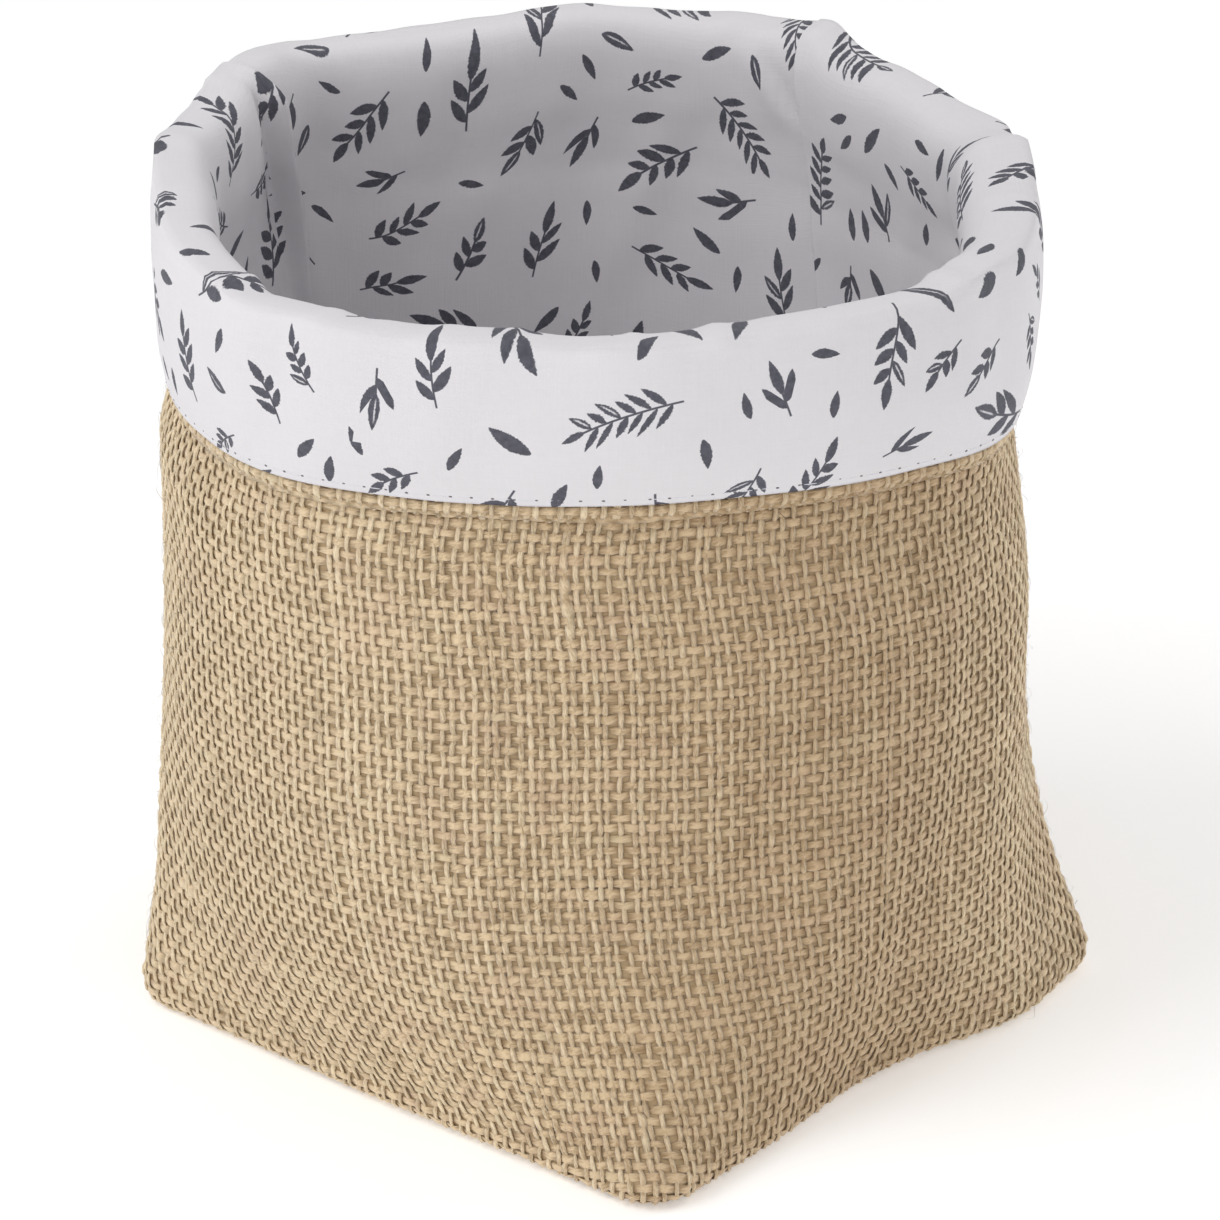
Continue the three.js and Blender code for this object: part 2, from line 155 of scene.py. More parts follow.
def square_reach(angle):
    """Reach of the square base outline with its rounded corners."""
    half, quarter = BASE_SIDE / 2, FULL_TURN / 4
    turn = np.radians(np.abs((angle + quarter / 2) % quarter - quarter / 2))
    straight = half - BASE_CORNER_RADIUS
    along = straight * (np.cos(turn) + np.sin(turn))
    across = straight * (np.cos(turn) - np.sin(turn))
    rounded = along + np.sqrt(np.maximum(BASE_CORNER_RADIUS ** 2 - across ** 2, 0))
    return np.where(turn <= math.atan2(straight, half), half / np.cos(turn), rounded)


def rim_set(column, angle):
    """A column of RIM at any angle, with its corners eased a little."""
    near = np.linspace(-2, 2, 9)
    weight = np.exp(-near ** 2)
    values = [np.interp(angle + shift * RIM_SOFTNESS, RIM[:, 0], RIM[:, column], period=FULL_TURN)
              for shift in near]
    return sum(w * value for w, value in zip(weight, values)) / weight.sum()


def wall_reach(angle, z):
    """Reach of the middle of the jute wall, from the floor to the hem."""
    hem, draw, body = (section(column, angle) for column in ("hem", "draw", "body"))
    foot = square_reach(angle) - JUTE_THICKNESS / 2 + section("foot", angle)
    left = np.maximum(0, 1 - np.maximum(0, z - TOE_HEIGHT) / section("settle", angle)) ** 2
    low = body + (foot - body) * left
    reach = low + (section("neck", angle) - low) * smooth((z - hem + draw) / draw)
    reach = reach + rim_set(2, angle) * smooth((z - hem + RIM_LENGTH) / RIM_LENGTH)
    uneven = sum(size * np.sin(turns * np.radians(angle) + 2 * math.pi * z / length + phase)
                 for turns, length, size, phase in WAVES)
    folds = 0
    for low_at, high_at, start, end, width, depth in WALL_FOLDS:
        share = np.clip((z - start) / (end - start), 0, 1)
        centre = low_at + (high_at - low_at) * np.sqrt(share)
        folds = folds + ridge(angle, centre, reach, width, depth) * np.sin(math.pi * np.sqrt(share))
    return reach + (1 - left) * uneven + folds


def cuff_folds(angle, up, reach):
    grown_in = smooth(up / CUFF_FOLDS_GROW)
    return sum(ridge(angle, hem_at + (top_at - hem_at) * up, reach, width, depth) * grown_in
               for hem_at, top_at, width, depth in CUFF_FOLDS)


def curve_through(rows, spans):
    """A smooth curve through a short table, with that many steps to each of its spans."""
    rows = np.array(rows, float)
    rows = np.vstack([2 * rows[0] - rows[1], rows, 2 * rows[-1] - rows[-2]])
    t = (np.arange(spans) / spans)[:, None]
    out = []
    for a, b, c, d in zip(rows, rows[1:], rows[2:], rows[3:]):
        out.append(b + 0.5 * t * (c - a + t * (2 * a - 5 * b + 4 * c - d + t * (3 * (b - c) + d - a))))
    return np.vstack(out + [rows[-2:-1]])


def standing(rows, angle):
    """Points of rows that are given as a reach and a height at each angle."""
    turn = np.radians(angle)
    return np.array([np.stack([reach * np.cos(turn), reach * np.sin(turn), z], -1) for reach, z in rows])


def edge_rows(path, spans, angle):
    """Rows of a rolled edge: its path is the distance out from the wall and the drop below the hem."""
    hem = section("hem", angle)
    return [(wall_reach(angle, hem - max(drop, 0)) + out, hem - drop)
            for out, drop in curve_through(path, spans)]


def cloth_rows(angle):
    """The middle of the jute, from under the foot to its rolled edge: points, hem row, outer hem row."""
    hem = section("hem", angle)
    rise = section("top", angle) + rim_set(1, angle) - hem
    neck = wall_reach(angle, hem)
    lean, puff = section("lean", angle), section("puff", angle)
    rows = [(wall_reach(angle, z) - inset, z + 0 * angle) for inset, z in curve_through(FOOT, CUFF_SPANS)]
    for share in np.arange(1, WALL_STEPS + 1) / WALL_STEPS:
        z = TOE_HEIGHT + (hem - TOE_HEIGHT) * share
        rows.append((wall_reach(angle, z), z))
    hem_row = len(rows) - 1
    for leaned, puffed, stood, up in curve_through(CUFF, CUFF_SPANS)[1:]:
        reach = neck - lean * leaned + puff * puffed + CUFF_STAND_OFF * stood
        rows.append((reach + cuff_folds(angle, up, neck), hem + rise * up))
    outer_row = len(rows) - 1
    return standing(rows + edge_rows(ROLLED_EDGE, CUFF_SPANS, angle)[1:], angle), hem_row, outer_row


def outward(points):
    """Directions square to a grid of rows that closes on itself, away from the lining."""
    up = np.gradient(points, axis=0)
    around = np.roll(points, -1, axis=1) - np.roll(points, 1, axis=1)
    out = np.cross(around, up)
    return out / np.linalg.norm(out, axis=-1, keepdims=True)


def placed(name, data):
    """A new piece in the scene."""
    piece = bpy.data.objects.new(name, data)
    bpy.context.scene.collection.objects.link(piece)
    return piece


def mesh_object(name, points, faces, material):
    """A piece from points in millimetres."""
    mesh = bpy.data.meshes.new(name)
    mesh.from_pydata((np.asarray(points) * MM).tolist(), [], np.asarray(faces).tolist())
    mesh.polygons.foreach_set("use_smooth", [True] * len(mesh.polygons))
    mesh.materials.append(material)
    mesh.update()
    return placed(name, mesh)


def thin_sheet(front, back, closed):
    """Points and faces of a thin sheet between two grids of points, which may close on themselves."""
    rows, columns = front.shape[:2]
    number = np.arange(rows * columns).reshape(rows, columns)
    j, i = np.meshgrid(np.arange(rows - 1), np.arange(columns if closed else columns - 1), indexing="ij")
    here, beside = number[j, i], number[j, (i + 1) % columns]
    face = np.stack([here, beside, beside + columns, here + columns], -1).reshape(-1, 4)
    faces = [face, face[:, ::-1] + number.size]
    edges = [(number[0, ::-1], closed), (number[-1], closed)]
    if not closed:
        edges += [(number[:, 0], False), (number[::-1, -1], False)]
    for line, loops in edges:
        ahead = np.roll(line, -1) if loops else line[1:]
        line = line if loops else line[:-1]
        faces.append(np.stack([ahead, line, line + number.size, ahead + number.size], -1))
    return np.vstack([front.reshape(-1, 3), back.reshape(-1, 3)]), np.vstack(faces)


# Number of upright yarns all round, and steps of the outline to each of them. The strip starts and ends
# at the back corner, and its points lie at equal distances round each row.
UPRIGHT_YARNS = 246
STEPS_TO_A_YARN = 4
START_CORNER = 135.0
OUTLINE_STEPS = UPRIGHT_YARNS * STEPS_TO_A_YARN


def evenly_round(rows):
    """The same closed rows, with their points at equal distances round each of them."""
    out = np.empty_like(rows)
    for k, row in enumerate(rows):
        closed = np.vstack([row, row[:1]])
        run = np.append(0, np.cumsum(np.linalg.norm(np.diff(closed, axis=0), axis=1)))
        share = np.arange(len(row)) / len(row) * run[-1]
        for axis in range(3):
            out[k, :, axis] = np.interp(share, run, closed[:, axis])
    return out


outline_angles = START_CORNER + FULL_TURN * np.arange(OUTLINE_STEPS) / OUTLINE_STEPS
round_cloth, hem_row, outer_row = cloth_rows(outline_angles)
cloth = evenly_round(round_cloth)
cloth_out = outward(cloth)


def add_node(tree, kind, inputs=None, **settings):
    """A node with its settings, and its inputs joined to a wire, a socket or a node, or set to a value."""
    node = tree.nodes.new(kind)
    for key, value in settings.items():
        setattr(node, key, value)
    for key, value in (inputs or {}).items():
        value = getattr(value, "socket", value)
        if isinstance(value, bpy.types.Node):
            value = value.outputs[0]
        if isinstance(value, bpy.types.NodeSocket):
            tree.links.new(value, node.inputs[key])
        else:
            node.inputs[key].default_value = value
    return node


class Wire:
    """A number in a material. Plain arithmetic on it adds the Math nodes."""

    def __init__(self, tree, socket):
        self.tree, self.socket = tree, socket

    def do(self, operation, *others, clamp=False):
        node = add_node(self.tree, "ShaderNodeMath", dict(enumerate((self, *others))),
                        operation=operation, use_clamp=clamp)
        return Wire(self.tree, node.outputs[0])

    __add__ = __radd__ = partialmethod(do, "ADD")
    __mul__ = __rmul__ = partialmethod(do, "MULTIPLY")
    __sub__ = partialmethod(do, "SUBTRACT")
    __truediv__ = partialmethod(do, "DIVIDE")

    def __rsub__(self, other):
        return self * -1.0 + other

    def ease(self, start, end):
        """0 up to one value, 1 from the other, and smooth between them."""
        node = add_node(self.tree, "ShaderNodeMapRange", {"Value": self, "From Min": start, "From Max": end},
                        interpolation_type="SMOOTHSTEP")
        return Wire(self.tree, node.outputs[0])


class Material:
    """A cloth material: short ways to read places, make noise, mix colours and join it all up."""

    def __init__(self, name, roughness, sheen=0.0):
        self.material = bpy.data.materials.new(name)
        self.material.use_nodes = True
        self.tree = self.material.node_tree
        self.shader = self.tree.nodes["Principled BSDF"]
        self.set(("Roughness", roughness), ("Specular IOR Level", 0.25),
                 ("Sheen Weight", sheen), ("Sheen Roughness", 0.6))

    def set(self, *values):
        for key, value in values:
            self.shader.inputs[key].default_value = value

    def attribute(self, name):
        node = add_node(self.tree, "ShaderNodeAttribute", attribute_name=name)
        return Wire(self.tree, node.outputs["Fac"])

    def vector(self, x=0.0, y=0.0, z=0.0):
        return add_node(self.tree, "ShaderNodeCombineXYZ", {0: x, 1: y, 2: z})

    def place(self):
        """Object coordinates, in metres."""
        return self.tree.nodes.new("ShaderNodeTexCoord").outputs["Object"]

    def parts(self, vector):
        node = add_node(self.tree, "ShaderNodeSeparateXYZ", {0: vector})
        return [Wire(self.tree, socket) for socket in node.outputs]

    def noise(self, vector, scale, detail=2.0, roughness=0.5):
        node = add_node(self.tree, "ShaderNodeTexNoise", {
            "Vector": vector, "Scale": scale, "Detail": detail, "Roughness": roughness})
        return Wire(self.tree, node.outputs["Fac"])

    def mix(self, share, *colours):
        first, second = [(*colour, 1.0) if isinstance(colour, tuple) else colour for colour in colours]
        node = add_node(self.tree, "ShaderNodeMix", {"Factor": share, 6: first, 7: second}, data_type="RGBA")
        return node.outputs[2]

    def finish(self, colour, height=None, distance=0.0):
        self.tree.links.new(colour, self.shader.inputs["Base Color"])
        if height:
            bump = add_node(self.tree, "ShaderNodeBump", {"Distance": distance, "Height": height})
            self.tree.links.new(bump.outputs[0], self.shader.inputs["Normal"])
        return self.material


# Tints of the jute: pinkish and greenish patches, and painted light and shade: the left of the basket
# painted paler as if lit, its front right painted browner as if in shade. Its left and right are told
# from the way that runs across the front corner, in metres.
PINKISH, GREENISH = (0.66, 0.45, 0.31), (0.55, 0.50, 0.31)
LEFT_PAINTED_LIGHT, RIGHT_PAINTED_SHADE = (0.86, 0.72, 0.50), (0.40, 0.24, 0.11)
TO_THE_RIGHT = (0.765, 0.644)
PAINTED_LIGHT_ENDS, PAINTED_SHADE_STARTS, PAINTED_SHADE_ENDS = (-0.085, -0.01), (-0.04, 0.045), (0.058, 0.084)
PINK_SHARE, GREEN_SHARE, PAINTED_LIGHT_SHARE, PAINTED_SHADE_SHARE = 0.22, 0.28, 0.27, 0.38
TWIST_SLANT = 0.14
FIBRE_SHADE, FINE_SHADE, LENGTHWISE_SHADE, YARN_SHADE = 1.7, 1.4, 1.2, 0.34


def jute_material(name, light, dark, painted_crown_light):
    """Each yarn has its own tone and is streaked along its twist; its crowns get a painted highlight and its
    dips a painted shade.
    """
    jute = Material(name, 0.85, sheen=0.3)
    seed, along, across, crown = (jute.attribute(key) for key in ("seed", "along", "across", "crown"))
    slant = across + along * TWIST_SLANT
    fibres = jute.noise(jute.vector(slant * 1.9, along * 0.3, seed * 97.0), 1.0, 3.0, 0.7)
    fine = jute.noise(jute.vector(slant * 4.6, along * 0.9, seed * 61.0), 1.0, 1.0, 0.6)
    lengthwise = jute.noise(jute.vector(along * 0.07, seed * 53.0), 1.0, 2.0)
    shade = (fibres - 0.5) * FIBRE_SHADE + (fine - 0.5) * FINE_SHADE + (lengthwise - 0.5) * LENGTHWISE_SHADE
    shade = shade + (seed - 0.5) * YARN_SHADE + (crown - 0.5) * painted_crown_light + 0.5
    colour = jute.mix(shade.do("ADD", 0.0, clamp=True), dark, light)
    pink = jute.noise(jute.place(), 95.0, 1.0).ease(0.52, 0.72) * PINK_SHARE
    green = lengthwise.ease(0.57, 0.72) * GREEN_SHARE
    colour = jute.mix(pink, colour, PINKISH)
    colour = jute.mix(green, colour, GREENISH)
    x, y, _ = jute.parts(jute.place())
    right = x * TO_THE_RIGHT[0] + y * TO_THE_RIGHT[1]
    # Painted light on the left of the basket, painted shade on its front right.
    painted_light = (1.0 - right.ease(*PAINTED_LIGHT_ENDS)) * PAINTED_LIGHT_SHARE
    painted_shade = right.ease(*PAINTED_SHADE_STARTS) * (1.0 - right.ease(*PAINTED_SHADE_ENDS)) * PAINTED_SHADE_SHARE
    colour = jute.mix(painted_light, colour, LEFT_PAINTED_LIGHT)
    colour = jute.mix(painted_shade, colour, RIGHT_PAINTED_SHADE)
    return jute.finish(colour, fibres + fine * 0.8, 0.34 * MM)


# The sheet under the yarns is coloured with painted shade: a dark brown that stands for the shadow deep in
# the gaps of the weave.
shade_between_yarns = Material("jute_painted_shade_between_yarns", 0.9)
patches = shade_between_yarns.noise(shade_between_yarns.place(), 420.0, 3.0)
jute_shadow = shade_between_yarns.finish(
    shade_between_yarns.mix(patches, (0.35, 0.245, 0.135), (0.52, 0.385, 0.23)), patches, 0.3 * MM)
# The last number is how strongly each yarn's crowns get a painted highlight and its dips a painted shade.
jute_upright = jute_material("jute_upright_yarn", (0.97, 0.80, 0.55), (0.46, 0.325, 0.178), 0.3)
jute_crosswise = jute_material("jute_crosswise_yarn", (0.82, 0.63, 0.40), (0.335, 0.224, 0.113), 0.8)

# The sheet, dark with painted shade for the gaps between the yarns, lies towards the lining under the
# yarns of the wall, and on the hollow side of the rolled edge: the row it is set at, and how far its
# middle is from the cloth's.
SHEET_THICKNESS = 0.4
SHEET_OFFSETS = [(0, -0.36), (hem_row, -0.36), (hem_row + 12, 0.0), (outer_row, 0.1), (outer_row + 5, 0.35)]
SHEET_EVERY_ROW, SHEET_EVERY_STEP = 3, 6
sheet_rows = np.unique(np.append(np.arange(0, len(cloth), SHEET_EVERY_ROW), len(cloth) - 1))
sheet_offset = np.interp(sheet_rows, *zip(*SHEET_OFFSETS))[:, None, None]
sheet_middle, sheet_out = cloth[sheet_rows, ::SHEET_EVERY_STEP], cloth_out[sheet_rows, ::SHEET_EVERY_STEP]
front, back = (sheet_middle + sheet_out * (sheet_offset + side * SHEET_THICKNESS / 2) for side in (1, -1))
jute_wall = mesh_object("jute_wall_cloth", *thin_sheet(front, back, closed=True), jute_shadow)
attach(jute_wall, "root")
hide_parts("jute_wall")

# The yarns of the wall. The uprights are thin and stand proud; the crosswise yarns are wide and flat,
# and pass over and under them in turn. No yarn is quite even or runs quite straight.

# For each kind: its size, its rise over and dip under, how far it strays, each crossing's own straying,
# how far its height wavers, the spread of its thicknesses, and the number of thick places in all
ROW_PITCH = 2.36
ROWS_ABOVE_HEM = 3
UPRIGHT = dict(width=1.16, thickness=0.7, over=0.36, under=0.0,
               stray=0.42, crossing=0.13, waver=0.05, spread=0.12, slubs=70)
CROSSWISE = dict(width=1.96, thickness=0.56, over=0.14, under=-0.3,
                 stray=0.17, crossing=0.08, waver=0.04, spread=0.08, slubs=110)
LEVEL_SHARE, KNOB_SHARE = 0.3, 0.13
LEAST_HEIGHT = 0.5
FIRST_ROW, ROW_UNEVEN, COLUMN_UNEVEN = 0.55, 0.11, 0.3
STRAY_WAVES = ((11.0, 0.35), (27.0, 0.45), (70.0, 0.6))
UNEVEN_LENGTHWISE, UNEVEN_AT_POINTS = 0.07, 0.055
SLUB_HEIGHTS, SLUB_LENGTHS = (0.25, 0.6), (3, 9)
LONGEST_START = 500.0
yarn_random = np.random.default_rng(41)


def read_attribute(tree, name, kind="FLOAT"):
    return add_node(tree, "GeometryNodeInputNamedAttribute", {"Name": name}, data_type=kind)


def node_tree(name, **inputs):
    """A new node tree, and the sockets of its named inputs."""
    tree = bpy.data.node_groups.new(name, "GeometryNodeTree")
    for key, kind in inputs.items():
        tree.interface.new_socket(key, in_out="INPUT", socket_type="NodeSocket" + kind)
    tree.interface.new_socket("Pieces", in_out="OUTPUT", socket_type="NodeSocketGeometry")
    return tree, tree.nodes.new("NodeGroupInput").outputs


def finish_tree(tree, pieces, material):
    """Ends a node tree: its pieces are made real, rounded and given their material."""
    real = add_node(tree, "GeometryNodeRealizeInstances", {"Geometry": pieces})
    rounded = add_node(tree, "GeometryNodeSetShadeSmooth", {"Geometry": real})
    coloured = add_node(tree, "GeometryNodeSetMaterial", {"Geometry": rounded, "Material": material})
    add_node(tree, "NodeGroupOutput", {"Pieces": coloured})


def yarn_tree():
    """Turns lines into yarns: a flattened round section that faces away from the cloth."""
    tree, given = node_tree("yarns_from_lines", Lines="Geometry", Width="Float", Thickness="Float",
                            Sides="Int", Material="Material")
    lines = add_node(tree, "GeometryNodeMeshToCurve", {"Mesh": given["Lines"]})
    faced = add_node(tree, "GeometryNodeSetCurveNormal", {
        "Curve": lines, "Normal": read_attribute(tree, "out", "FLOAT_VECTOR")}, mode="FREE")
    circle = add_node(tree, "GeometryNodeCurvePrimitiveCircle", {"Resolution": given["Sides"], "Radius": 0.5})
    turned = add_node(tree, "GeometryNodeTransform", {"Geometry": circle, "Rotation": (0.0, 0.0, math.pi)})
    position = add_node(tree, "ShaderNodeSeparateXYZ", {0: add_node(tree, "GeometryNodeInputPosition")})
    marked = add_node(tree, "GeometryNodeStoreNamedAttribute", {
        "Geometry": turned, "Name": "across", "Value": position.outputs["Y"]},
        data_type="FLOAT", domain="POINT")
    size = add_node(tree, "ShaderNodeCombineXYZ", {"X": given["Thickness"], "Y": given["Width"], "Z": 1.0})
    sized = add_node(tree, "GeometryNodeTransform", {"Geometry": marked, "Scale": size})
    tubes = add_node(tree, "GeometryNodeCurveToMesh", {
        "Curve": faced, "Profile Curve": sized, "Scale": read_attribute(tree, "swell"), "Fill Caps": True})
    finish_tree(tree, tubes, given["Material"])
    return tree


yarns_from_lines = yarn_tree()


def grown(name, points, links, facts, tree, values):
    """A plain mesh piece that a node tree makes of points and links, with facts about each point."""
    mesh = bpy.data.meshes.new(name + "_points")
    mesh.from_pydata((points * MM).tolist(), links.tolist(), [])
    for key, fact in facts.items():
        kind, field = ("FLOAT", "value") if fact.ndim == 1 else ("FLOAT_VECTOR", "vector")
        mesh.attributes.new(key, kind, "POINT").data.foreach_set(field, fact.astype(np.float32).ravel())
    piece = placed(name + "_points", mesh)
    modifier = piece.modifiers.new("made", "NODES")
    modifier.node_group = tree
    for item in tree.interface.items_tree:
        if item.name in values:
            modifier[item.identifier] = values[item.name]
    bpy.context.view_layer.update()
    mesh = bpy.data.meshes.new_from_object(piece.evaluated_get(bpy.context.evaluated_depsgraph_get()))
    mesh.name = name
    bpy.data.objects.remove(piece)
    return placed(name, mesh)


def yarns(name, points, out, there, facts, size, material, sides=5):
    """Yarns along rows of points, where they are there: the way each point faces, and its facts."""
    number = np.cumsum(there).reshape(there.shape) - 1
    both = there[:, :-1] & there[:, 1:]
    links = np.stack([number[:, :-1][both], number[:, 1:][both]], -1)
    facts = {key: values[there] for key, values in {"out": out, **facts}.items()}
    return grown(name, points[there], links, facts, yarns_from_lines, {
        "Width": size["width"] * MM, "Thickness": size["thickness"] * MM,
        "Sides": sides, "Material": material})


def straying(shape, step, size):
    """Smooth small strayings of a number of yarns from their lines."""
    run = np.arange(shape[1]) * step
    total = np.zeros(shape)
    for wavelength, share in STRAY_WAVES:
        stretch = yarn_random.uniform(0.8, 1.25, (shape[0], 1))
        phase = yarn_random.uniform(0, 2 * math.pi, (shape[0], 1))
        total += share * np.sin(2 * math.pi * run * stretch / wavelength + phase)
    return total * size


def thickness_along(shape, step, kind):
    """How thick each yarn is along its length: its own thickness, and a few thick places."""
    spread = kind["spread"]
    own = yarn_random.normal(1, spread, (shape[0], 1)).clip(1 - 2 * spread, 1 + 2.2 * spread)
    swell = own + straying(shape, step, UNEVEN_LENGTHWISE) + yarn_random.normal(0, UNEVEN_AT_POINTS, shape)
    run = np.arange(shape[1]) * step
    for _ in range(kind["slubs"]):
        which, centre = yarn_random.integers(shape[0]), yarn_random.uniform(0, run[-1])
        thicker = yarn_random.uniform(*SLUB_HEIGHTS)
        swell[which] += thicker * np.exp(-((run - centre) / yarn_random.uniform(*SLUB_LENGTHS)) ** 2)
    return swell


def yarn_facts(crown, swell, run, starts=LONGEST_START):
    """What the material reads along each yarn: its crowns, thickness, own seed and length so far."""
    facts = {"crown": crown, "swell": swell, "seed": yarn_random.random((len(crown), 1)), "along": run}
    if starts:
        facts["along"] = run + yarn_random.uniform(0, starts, (len(crown), 1))
    return {key: np.broadcast_to(values, crown.shape) for key, values in facts.items()}


def meeting(values):
    """The same rows, each with its end eased to meet its own start."""
    share = smooth((np.arange(values.shape[1]) - values.shape[1] + 15) / 12)[None]
    return values * (1 - share) + values[:, :1] * share


# Distances down from the hem along every step of the outline, from a little above it to under the foot
EXTRA_ROWS = 8
wall, wall_out = (rows[:hem_row + 1 + EXTRA_ROWS][::-1] for rows in (cloth, cloth_out))
down = np.cumsum(np.linalg.norm(np.diff(wall, axis=0), axis=2), axis=0)
down = np.vstack([np.zeros((1, OUTLINE_STEPS)), down])
down = down - down[EXTRA_ROWS]


def at_depths(depths):
    """Points and outward directions of the wall at distances down from the hem, at every step round."""
    place = np.empty((len(depths), OUTLINE_STEPS, 6))
    both = np.concatenate([wall, wall_out], axis=2)
    for step in range(OUTLINE_STEPS):
        for axis in range(6):
            place[:, step, axis] = np.interp(depths, down[:, step], both[:, step, axis])
    return place


def at_steps(place, steps):
    """The same between the steps of the outline."""
    low = np.floor(steps).astype(int)
    share = (steps - low)[..., None]
    rows = np.arange(len(place))[:, None]
    return place[rows, low % OUTLINE_STEPS] * (1 - share) + place[rows, (low + 1) % OUTLINE_STEPS] * share


def lifted(place, rise):
    """Points raised off the middle of the cloth, none of them through the floor."""
    out = place[..., 3:] / np.linalg.norm(place[..., 3:], axis=-1, keepdims=True)
    points = place[..., :3] + out * rise[..., None]
    points[..., 2] = np.maximum(points[..., 2], LEAST_HEIGHT)
    return points, out


def doubled(values):
    """The same for the two points that each crossing has along a yarn."""
    return np.repeat(values, 2, axis=1)


row_count = int(down[-1].max() / ROW_PITCH) + 1
row_depths = (np.arange(-ROWS_ABOVE_HEM, row_count) + FIRST_ROW) * ROW_PITCH
row_depths = row_depths + yarn_random.normal(0, ROW_UNEVEN, len(row_depths))
own_step = np.arange(UPRIGHT_YARNS) * STEPS_TO_A_YARN + yarn_random.normal(0, COLUMN_UNEVEN, UPRIGHT_YARNS)
parity = (np.arange(UPRIGHT_YARNS)[:, None] + np.arange(len(row_depths))[None]) % 2
point_step = ROW_PITCH / 2

# Uprights: two points to each crossing, a little either side of its middle
upright_depths = (row_depths[:, None] + np.array([-LEVEL_SHARE, LEVEL_SHARE]) * ROW_PITCH).ravel()
shape = (UPRIGHT_YARNS, len(upright_depths))
place = at_depths(upright_depths)
wander = straying(shape, point_step, UPRIGHT["stray"])
wander = wander + doubled(yarn_random.normal(0, UPRIGHT["crossing"], parity.shape))
place = at_steps(place, (own_step[:, None] + wander).T).transpose(1, 0, 2)
rise = np.where(doubled(parity) == 0, UPRIGHT["over"], UPRIGHT["under"])
rise = rise + straying(shape, point_step, UPRIGHT["waver"])
points, out = lifted(place, rise)
there = upright_depths[None] < at_steps(down[-1:, :, None], own_step[None])[0, :, :1]
facts = yarn_facts(doubled(1.0 - parity), thickness_along(shape, point_step, UPRIGHT), upright_depths[None])
half = UPRIGHT_YARNS // 2
wall_yarns = []
for name, some in (("right", slice(0, half)), ("left", slice(half, None))):
    wall_yarns.append(yarns("upright_yarns_" + name, points[some], out[some], there[some],
                            {key: values[some] for key, values in facts.items()},
                            UPRIGHT, jute_upright, sides=4))

# Crosswise yarns: they run level with the hem and end at the bottom seam where it rises to meet them
END_ABOVE_SEAM = 0.6
cross_line = (own_step[:, None] + np.array([-KNOB_SHARE, KNOB_SHARE]) * STEPS_TO_A_YARN).ravel()
cross_line = np.append(cross_line, cross_line[:2] + OUTLINE_STEPS)
cross_steps = np.repeat(cross_line[None], len(row_depths), axis=0)
shape = cross_steps.shape
cross_parity = np.vstack([parity, parity[:1]]).T
place = at_steps(at_depths(row_depths), cross_steps)
upwards = at_steps(at_depths(row_depths - 0.5), cross_steps)[..., :3] - place[..., :3]
upwards = upwards / np.maximum(np.linalg.norm(upwards, axis=-1, keepdims=True), 1e-6)
drift = straying(shape, point_step, CROSSWISE["stray"])
drift = drift + doubled(yarn_random.normal(0, CROSSWISE["crossing"], cross_parity.shape))
place[..., :3] += upwards * meeting(drift)[..., None]
rise = np.where(doubled(cross_parity) == 0, CROSSWISE["under"], CROSSWISE["over"])
rise = rise + meeting(straying(shape, point_step, CROSSWISE["waver"]))
points, out = lifted(place, rise)
seam_depths = at_steps(np.repeat(down[-1:, :, None], len(row_depths), 0), cross_steps)[..., 0]
there = row_depths[:, None] < seam_depths - END_ABOVE_SEAM
facts = yarn_facts(doubled(cross_parity * 1.0), meeting(thickness_along(shape, point_step, CROSSWISE)),
                   np.arange(shape[1])[None] * point_step)
half = len(row_depths) // 2
for name, some in (("upper", slice(0, half)), ("lower", slice(half, None))):
    wall_yarns.append(yarns("crosswise_yarns_" + name, points[some], out[some], there[some],
                            {key: values[some] for key, values in facts.items()}, CROSSWISE, jute_crosswise))
for piece in wall_yarns:
    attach(piece, "root")

# The rolled edge. The end of the jute turns under the cuff's hem and back up against the wall, with its
# own weave showing as a narrow band below the white.

# Path: distance out from the wall, drop below the hem; then how far along it the crosswise yarns lie,
# how far round the weave is shifted, and how far the points of the upright yarns are from those
# crosswise and from the path's ends
ROLL_PATH = [(2.2, -6.0), (2.3, -2.0), (2.45, 0.0), (2.75, 1.5), (2.75, 2.8), (2.3, 3.8), (1.6, 3.3),
             (1.35, 1.4), (1.3, -2.0)]
ROLL_SPANS = 4
ROLL_CROSSWISE_AT = np.array([5.3, 7.9, 10.7])
ROLL_SHIFT = 0.8
EITHER_SIDE, ROLL_STARTS, ROLL_ENDS = 0.6, (0.5, 2.0), 0.3
ROLL_UPRIGHT = dict(width=1.3, thickness=0.8, over=0.30, under=-0.22, stray=0.4, spread=0.14, slubs=10)
ROLL_CROSSWISE = dict(width=2.0, thickness=0.7, over=0.2, under=-0.3, stray=0.16, spread=0.1, slubs=8)
roll = evenly_round(standing(edge_rows(ROLL_PATH, ROLL_SPANS, outline_angles), outline_angles))
roll_both = np.concatenate([roll, -outward(roll)], axis=2)
roll_run = np.append(0, np.cumsum(np.linalg.norm(np.diff(roll, axis=0), axis=2).mean(axis=1)))


def on_roll(distances):
    """Points and outward directions of the roll at distances along its path, at every step round."""
    share = np.interp(distances, roll_run, np.arange(len(roll_run)))
    low = np.minimum(share.astype(int), len(roll_run) - 2)
    part = (share - low)[:, None, None]
    return roll_both[low] * (1 - part) + roll_both[low + 1] * part


